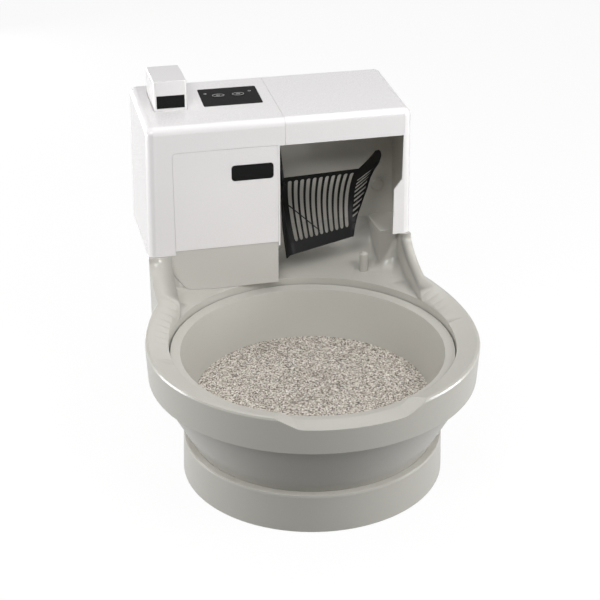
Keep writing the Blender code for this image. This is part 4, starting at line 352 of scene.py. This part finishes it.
def loose_granules(centre, radius, top):
    """Grains scattered on one square, which is turned and repeated over the bed."""
    seeded = random.Random(7)
    tile = GRAIN_SQUARE
    count = GRAINS_ON_SQUARE
    bm = bmesh.new()
    for _ in range(count):
        size = seeded.uniform(0.0007, 0.0013)
        at = Matrix.Translation([seeded.uniform(-tile / 2, tile / 2) for _ in range(2)]
                                + [top - seeded.uniform(0.0006, 0.0018)])
        turn = Matrix.Rotation(seeded.random() * math.tau, 4, Vector((seeded.random(), seeded.random(), 1)))
        shape = Matrix.Diagonal((size, size * seeded.uniform(0.6, 1.0), size * seeded.uniform(0.5, 0.9), 1))
        bmesh.ops.create_icosphere(bm, subdivisions=1, radius=1.0, matrix=at @ turn @ shape)
    corners = len(bm.verts) // count
    square = bm.verts[:] + bm.edges[:] + bm.faces[:]
    reach = math.ceil(radius / tile)
    for column in range(-reach, reach):
        for row in range(-reach, reach):
            copy = bmesh.ops.duplicate(bm, geom=square)["geom"]
            verts = [part for part in copy if isinstance(part, bmesh.types.BMVert)]
            bmesh.ops.rotate(bm, cent=(0, 0, 0), verts=verts,
                             matrix=Matrix.Rotation(seeded.randrange(4) * math.pi / 2, 3, "Z"))
            bmesh.ops.translate(bm, verts=verts, vec=(
                centre.x + (column + 0.5) * tile, centre.y + (row + 0.5) * tile, 0))
    bm.verts.ensure_lookup_table()
    middle = Vector((centre.x, centre.y))
    spare = list(bm.verts[:count * corners])
    for first in range(count * corners, len(bm.verts), corners):
        grain = bm.verts[first:first + corners]
        if (grain[0].co.xy - middle).length > radius:
            spare.extend(grain)
    bmesh.ops.delete(bm, geom=spare, context="VERTS")
    grains = new_piece("granules_loose", bm, LOOSE, "bowl_rotor", None)
    tints = np.random.default_rng(11).uniform(0.0, 1.0, len(grains.data.vertices) // corners)
    attribute = grains.data.attributes.new("tint", "FLOAT", "POINT")
    attribute.data.foreach_set("value", np.repeat(tints, corners).astype(np.float32))


# Scoop: places in metres, and shares of its height from the top bar down
SCOOP_LEFT, SCOOP_LEFT_LEAN = 0.0092, 0.012
SCOOP_RIGHT, SCOOP_RIGHT_LEAN = 0.1365, 0.0165
SCOOP_TOP, SCOOP_TOP_RISE = 0.3745, 0.0045
SCOOP_LIP, SCOOP_LIP_RISE = 0.2525, 0.0215
SCOOP_BAR_Y, SCOOP_LIP_AHEAD, SCOOP_BELLY = 0.1725, 0.0245, 0.019
SCOOP_SIDE_REACH = 0.0255
SCOOP_SHEET = 0.0024
SLOT_END_SHARE = 0.030
FIRST_SLAT_ROW = 6
EAR_RADIUS = 0.0088
EAR_SIDES = (0.0068, 0.0098)
EAR_ENDS = ((0.1955, 0.42), (0.168, 0.375))
BRACE_ENDS = (0.0215, 0.1840, 0.3240), (0.0710, 0.1700, 0.2800)
BRACE_RADII = (0.0011, 0.0009)
# The wing's outer edge: share, then x, y and z
WING_EDGE = [
    (0.00, 0.1575, 0.1560, 0.4140), (0.05, 0.1625, 0.1530, 0.4162), (0.10, 0.1655, 0.1515, 0.4125),
    (0.15, 0.1655, 0.1530, 0.4050), (0.21, 0.1630, 0.1560, 0.3950), (0.30, 0.1576, 0.1600, 0.3845),
    (0.42, 0.1524, 0.1640, 0.3697), (0.55, 0.1482, 0.1680, 0.3478), (0.68, 0.1416, 0.1700, 0.3266),
    (0.80, 0.1336, 0.1670, 0.3040), (0.90, 0.1278, 0.1600, 0.2827), (1.00, 0.1225, 0.1490, 0.2725)]
SCOOP_ROWS = [0.0] + [0.05 + 0.83 * step / 26 for step in range(27)] + [0.94, 1.0]
SLOT_STARTS = [0.075 + 0.0825 * index for index in range(11)]
SLOT_WIDTH = 0.0535
SLOT_STEPS = (0.0, 0.15, 0.5, 0.85, 1.0)
WING_STEPS = (0.12, 0.30, 0.50, 0.70, 0.87, 1.0)


def scoop_wall(share, across):
    """Point of the scoop's bent back wall, from its top bar down and from its left edge to the right."""
    left = SCOOP_LEFT + SCOOP_LEFT_LEAN * share
    right = SCOOP_RIGHT - SCOOP_RIGHT_LEAN * share
    top = SCOOP_TOP + SCOOP_TOP_RISE * across
    low = SCOOP_LIP + SCOOP_LIP_RISE * across
    deep = SCOOP_BAR_Y - SCOOP_LIP_AHEAD * share ** 2 + SCOOP_BELLY * math.sin(math.pi * share)
    return Vector((left + (right - left) * across, deep, top + (low - top) * share))


def scoop_side(share, step):
    """Point of the side wall, which turns forward from the back wall's left edge."""
    edge = scoop_wall(share, 0.0)
    reach = SCOOP_SIDE_REACH * (1 - share / 2)
    return Vector((edge.x + (SCOOP_LEFT - edge.x) * step ** 0.6, edge.y - reach * step, edge.z))


def scoop_wing(share, bend):
    """Point of the flared wing, whose outer edge ends in a rounded tip."""
    start = scoop_wall(share, 1.0)
    table = list(zip(*WING_EDGE))
    end = Vector([float(np.interp(share, table[0], column)) for column in table[1:]])
    reach = end - start
    middle = start + Vector((reach.x * 0.62, reach.y * 0.3, reach.z * 0.42))
    return start.lerp(middle, bend).lerp(middle.lerp(end, bend), bend)


def slatted_scoop():
    """Black scoop: round-ended slots down its back, slanting slats in the wing, an ear at the pin."""
    columns = [("side", step) for step in (1.0, 0.6, 0.25)] + [("wall", 0.0)]
    slots = set()
    ends = {}
    for start in SLOT_STARTS:
        for step in SLOT_STEPS:
            if step < 1.0:
                slots.add(len(columns))
            ends[len(columns)] = 1 - math.sqrt(1 - (2 * step - 1) ** 2)
            columns.append(("wall", start + SLOT_WIDTH * step))
    columns.append(("wall", 1.0))
    first_slat = len(columns)
    columns += [("wing", step) for step in WING_STEPS]
    wide, tall = len(columns) - 1, len(SCOOP_ROWS) - 1
    bm = bmesh.new()
    bmesh.ops.create_grid(bm, x_segments=wide, y_segments=tall, size=1.0)
    gaps = []
    for face in bm.faces:
        middle = face.calc_center_median()
        column = int((middle.x + 1) / 2 * wide)
        row = int((1 - middle.y) / 2 * tall)
        in_slot = column in slots and 1 <= row < tall - 2
        in_slat = first_slat <= column < wide - 1 and FIRST_SLAT_ROW <= row < tall - 4 and row % 2
        if in_slot or in_slat:
            gaps.append(face)
    shapes = {"side": scoop_side, "wall": scoop_wall, "wing": scoop_wing}
    for vert in bm.verts:
        column = round((vert.co.x + 1) / 2 * wide)
        row = round((1 - vert.co.y) / 2 * tall)
        turn = SLOT_END_SHARE * ends.get(column, 0.0)
        share = SCOOP_ROWS[row] + turn * ((row == 1) - (row == tall - 2))
        kind, step = columns[column]
        vert.co = shapes[kind](share, step)
    bmesh.ops.delete(bm, geom=gaps, context="FACES")
    bmesh.ops.solidify(bm, geom=bm.faces[:], thickness=SCOOP_SHEET)
    ear = []
    for deep, high in EAR_ENDS:
        for x in EAR_SIDES:
            place = Matrix.Translation((x, deep, high)) @ Matrix.Rotation(math.pi / 2, 4, "Y")
            ear += bmesh.ops.create_circle(bm, segments=28, radius=EAR_RADIUS, matrix=place)["verts"]
    hull = bmesh.ops.convex_hull(bm, input=ear)
    bmesh.ops.delete(bm, geom=hull["geom_interior"] + hull["geom_unused"], context="VERTS")
    start, end = (Vector(point) for point in BRACE_ENDS)
    along = (end - start).to_track_quat("Z", "Y").to_matrix().to_4x4()
    bmesh.ops.create_cone(bm, cap_ends=True, segments=10, radius1=BRACE_RADII[0], radius2=BRACE_RADII[1],
                          depth=(end - start).length, matrix=Matrix.Translation((start + end) / 2) @ along)
    bmesh.ops.recalc_face_normals(bm, faces=bm.faces)
    piece = new_piece("scoop_slatted", bm, SCOOP_BLACK, "scoop_bucket", 35.0)
    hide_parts("scoop")


PANEL_SLOPE = 0.0676
MARK_THICKNESS = 0.0003
BUTTON_RING_INSET = 0.0006
BUTTON_RING_BAND = 0.0009
INNER_OVAL = (0.0070, 0.0030, 0.0008)
LAMP_RING = (0.0048, 0.0044, 0.0008)
LAMP_RING_FROM_LEFT = 0.0105
LAMP_RING_FROM_RIGHT = 0.0125
LAMP_RING_FROM_BACK = 0.020


def raised_ring(bm, x, y, z, width, depth, band):
    """Oval ring lying on the sloping panel."""
    verts = bmesh.ops.create_circle(bm, cap_ends=True, segments=40, radius=0.5)["verts"]
    bmesh.ops.scale(bm, vec=(width, depth, 1), verts=verts)
    disc = verts[0].link_faces[0]
    border = bmesh.ops.inset_region(
        bm, faces=[disc], thickness=band, use_even_offset=True, use_boundary=True)["faces"]
    bmesh.ops.delete(bm, geom=[disc], context="FACES_ONLY")
    shell = bmesh.ops.solidify(bm, geom=border, thickness=MARK_THICKNESS)["geom"]
    faces = [part for part in border + shell if isinstance(part, bmesh.types.BMFace)]
    verts = list({vert for face in faces for vert in face.verts})
    slope = Matrix.Translation((x, y, z)) @ Matrix.Rotation(math.atan(PANEL_SLOPE), 4, "X")
    bmesh.ops.transform(bm, matrix=slope, verts=verts)


def panel_marks():
    """An oval ring on each button with a small one inside it, and two small lamps' rings on the panel."""
    for node in ("button_left", "button_right"):
        low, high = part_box(node)
        x, y = (low[0] + high[0]) / 2, (low[1] + high[1]) / 2
        z = high[2] - PANEL_SLOPE * (high[1] - y) + 0.0001
        bm = bmesh.new()
        raised_ring(bm, x, y, z, high[0] - low[0] - BUTTON_RING_INSET, high[1] - low[1] - BUTTON_RING_INSET,
                    BUTTON_RING_BAND)
        raised_ring(bm, x, y, z, *INNER_OVAL)
        bmesh.ops.recalc_face_normals(bm, faces=bm.faces)
        new_piece(node + "_marks", bm, MARK, body_of(frame["nodes"][node])[0], 40.0)
    low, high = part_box("control_panel")
    bm = bmesh.new()
    y = high[1] - LAMP_RING_FROM_BACK
    for x in (low[0] + LAMP_RING_FROM_LEFT, high[0] - LAMP_RING_FROM_RIGHT):
        raised_ring(bm, x, y, high[2] - PANEL_SLOPE * LAMP_RING_FROM_BACK + 0.0003, *LAMP_RING)
    bmesh.ops.recalc_face_normals(bm, faces=bm.faces)
    new_piece("control_panel_marks", bm, MARK, body_of(frame["nodes"]["control_panel"])[0], 40.0)


GLOSSY_RAY = 3
FLOOR_HALF = 6.0


def surroundings():
    """White to the camera, a dim even light to the surfaces."""
    world = bpy.data.worlds.new("studio")
    world.use_nodes = True
    sky = Web(world.node_tree)
    seen = sky.node("ShaderNodeLightPath")
    gloss = sky.node("ShaderNodeLightPath", output=GLOSSY_RAY)
    strength = 0.10 + gloss * 0.20 + seen
    backdrop = sky.tree.nodes["Background"]
    sky.feed(backdrop.inputs["Color"], (1, 1, 1))
    sky.feed(backdrop.inputs["Strength"], sky.node(
        "ShaderNodeMath", {"operation": "MINIMUM"}, {0: strength, 1: 1.0}))
    bpy.context.scene.world = world


def studio_floor():
    """A wide floor, white to the camera but for the object's shadow."""
    floor = Finish("studio_floor")
    seen = floor.node("ShaderNodeLightPath")
    gloss = floor.node("ShaderNodeLightPath", output=GLOSSY_RAY)
    tint = floor.between(seen, (0.15, 0.15, 0.145), (0.92, 0.92, 0.92))
    floor.surface(Base_Color=tint, Roughness=0.9)
    glow = floor.node("ShaderNodeEmission", {}, {"Color": (1, 1, 1), "Strength": 1.0})
    mixed = floor.node("ShaderNodeMixShader", {}, {
        0: seen * 0.93 + gloss * 0.6, 1: Wire(floor, floor.shader.outputs[0]), 2: glow})
    floor.feed(floor.tree.nodes["Material Output"].inputs["Surface"], mixed)
    bm = bmesh.new()
    bmesh.ops.create_grid(bm, x_segments=1, y_segments=1, size=FLOOR_HALF)
    mesh = bpy.data.meshes.new("floor")
    bm.to_mesh(mesh)
    bm.free()
    mesh.materials.append(floor.material)
    ground = bpy.data.objects.new("floor", mesh)
    bpy.context.scene.collection.objects.link(ground)


# Name, place, aim, width, height and power of each soft box
LAMPS = [
    ("lamp_key", (-1.2, -1.6, 2.4), (0, 0, 0.3), 1.3, 1.1, 37.0),
    ("lamp_fill", (1.2, -1.7, 2.3), (0, 0, 0.3), 1.3, 1.1, 31.0),
    ("lamp_top", (0.3, 0.5, 3.0), (0, 0, 0.3), 2.2, 2.2, 31.0),
    ("lamp_left", (-1.6, 0.45, 0.35), (0, 0, 0.15), 0.8, 0.7, 18.0),
    ("lamp_right", (1.7, -0.5, 0.35), (0, 0, 0.15), 0.8, 0.8, 21.0),
    ("lamp_back", (-0.9, 2.3, 0.45), (0, 0, 0.25), 1.0, 0.7, 15.0),
]


def lamps():
    """Two soft boxes above the camera, one overhead, one at each side and a weak one behind."""
    for name, place, aim, width, height, power in LAMPS:
        lamp = bpy.data.lights.new(name, "AREA")
        lamp.shape = "RECTANGLE"
        lamp.size = width
        lamp.size_y = height
        lamp.energy = power
        item = bpy.data.objects.new(name, lamp)
        item.location = place
        item.rotation_euler = (Vector(aim) - Vector(place)).to_track_quat("-Z", "Y").to_euler()
        bpy.context.scene.collection.objects.link(item)


# The photograph's camera: its lens in millimetres, its place and the ways it faces
CAMERA_LENS, CAMERA_SENSOR = 84.72, 36.0
CAMERA_PLACE = (-0.4567, -1.8742, 1.2057)
CAMERA_RIGHT = (0.97196, -0.23514, 0.0)
CAMERA_AHEAD = (0.21044, 0.86984, -0.44620)


def camera():
    """Camera at the photograph's place."""
    lens = bpy.data.cameras.new("camera")
    lens.lens = CAMERA_LENS
    lens.sensor_width = CAMERA_SENSOR
    item = bpy.data.objects.new("camera", lens)
    right = Vector(CAMERA_RIGHT)
    ahead = Vector(CAMERA_AHEAD)
    turn = Matrix((right, right.cross(ahead), -ahead)).transposed().to_4x4()
    item.matrix_world = Matrix.Translation(CAMERA_PLACE) @ turn
    bpy.context.scene.collection.objects.link(item)
    bpy.context.scene.camera = item


bpy.context.scene.view_settings.view_transform = "Standard"
camera()
surroundings()
studio_floor()
lamps()
paint_frame()
for moulding in MOULDINGS:
    smooth_moulding(moulding)
granule_bed()
slatted_scoop()
panel_marks()
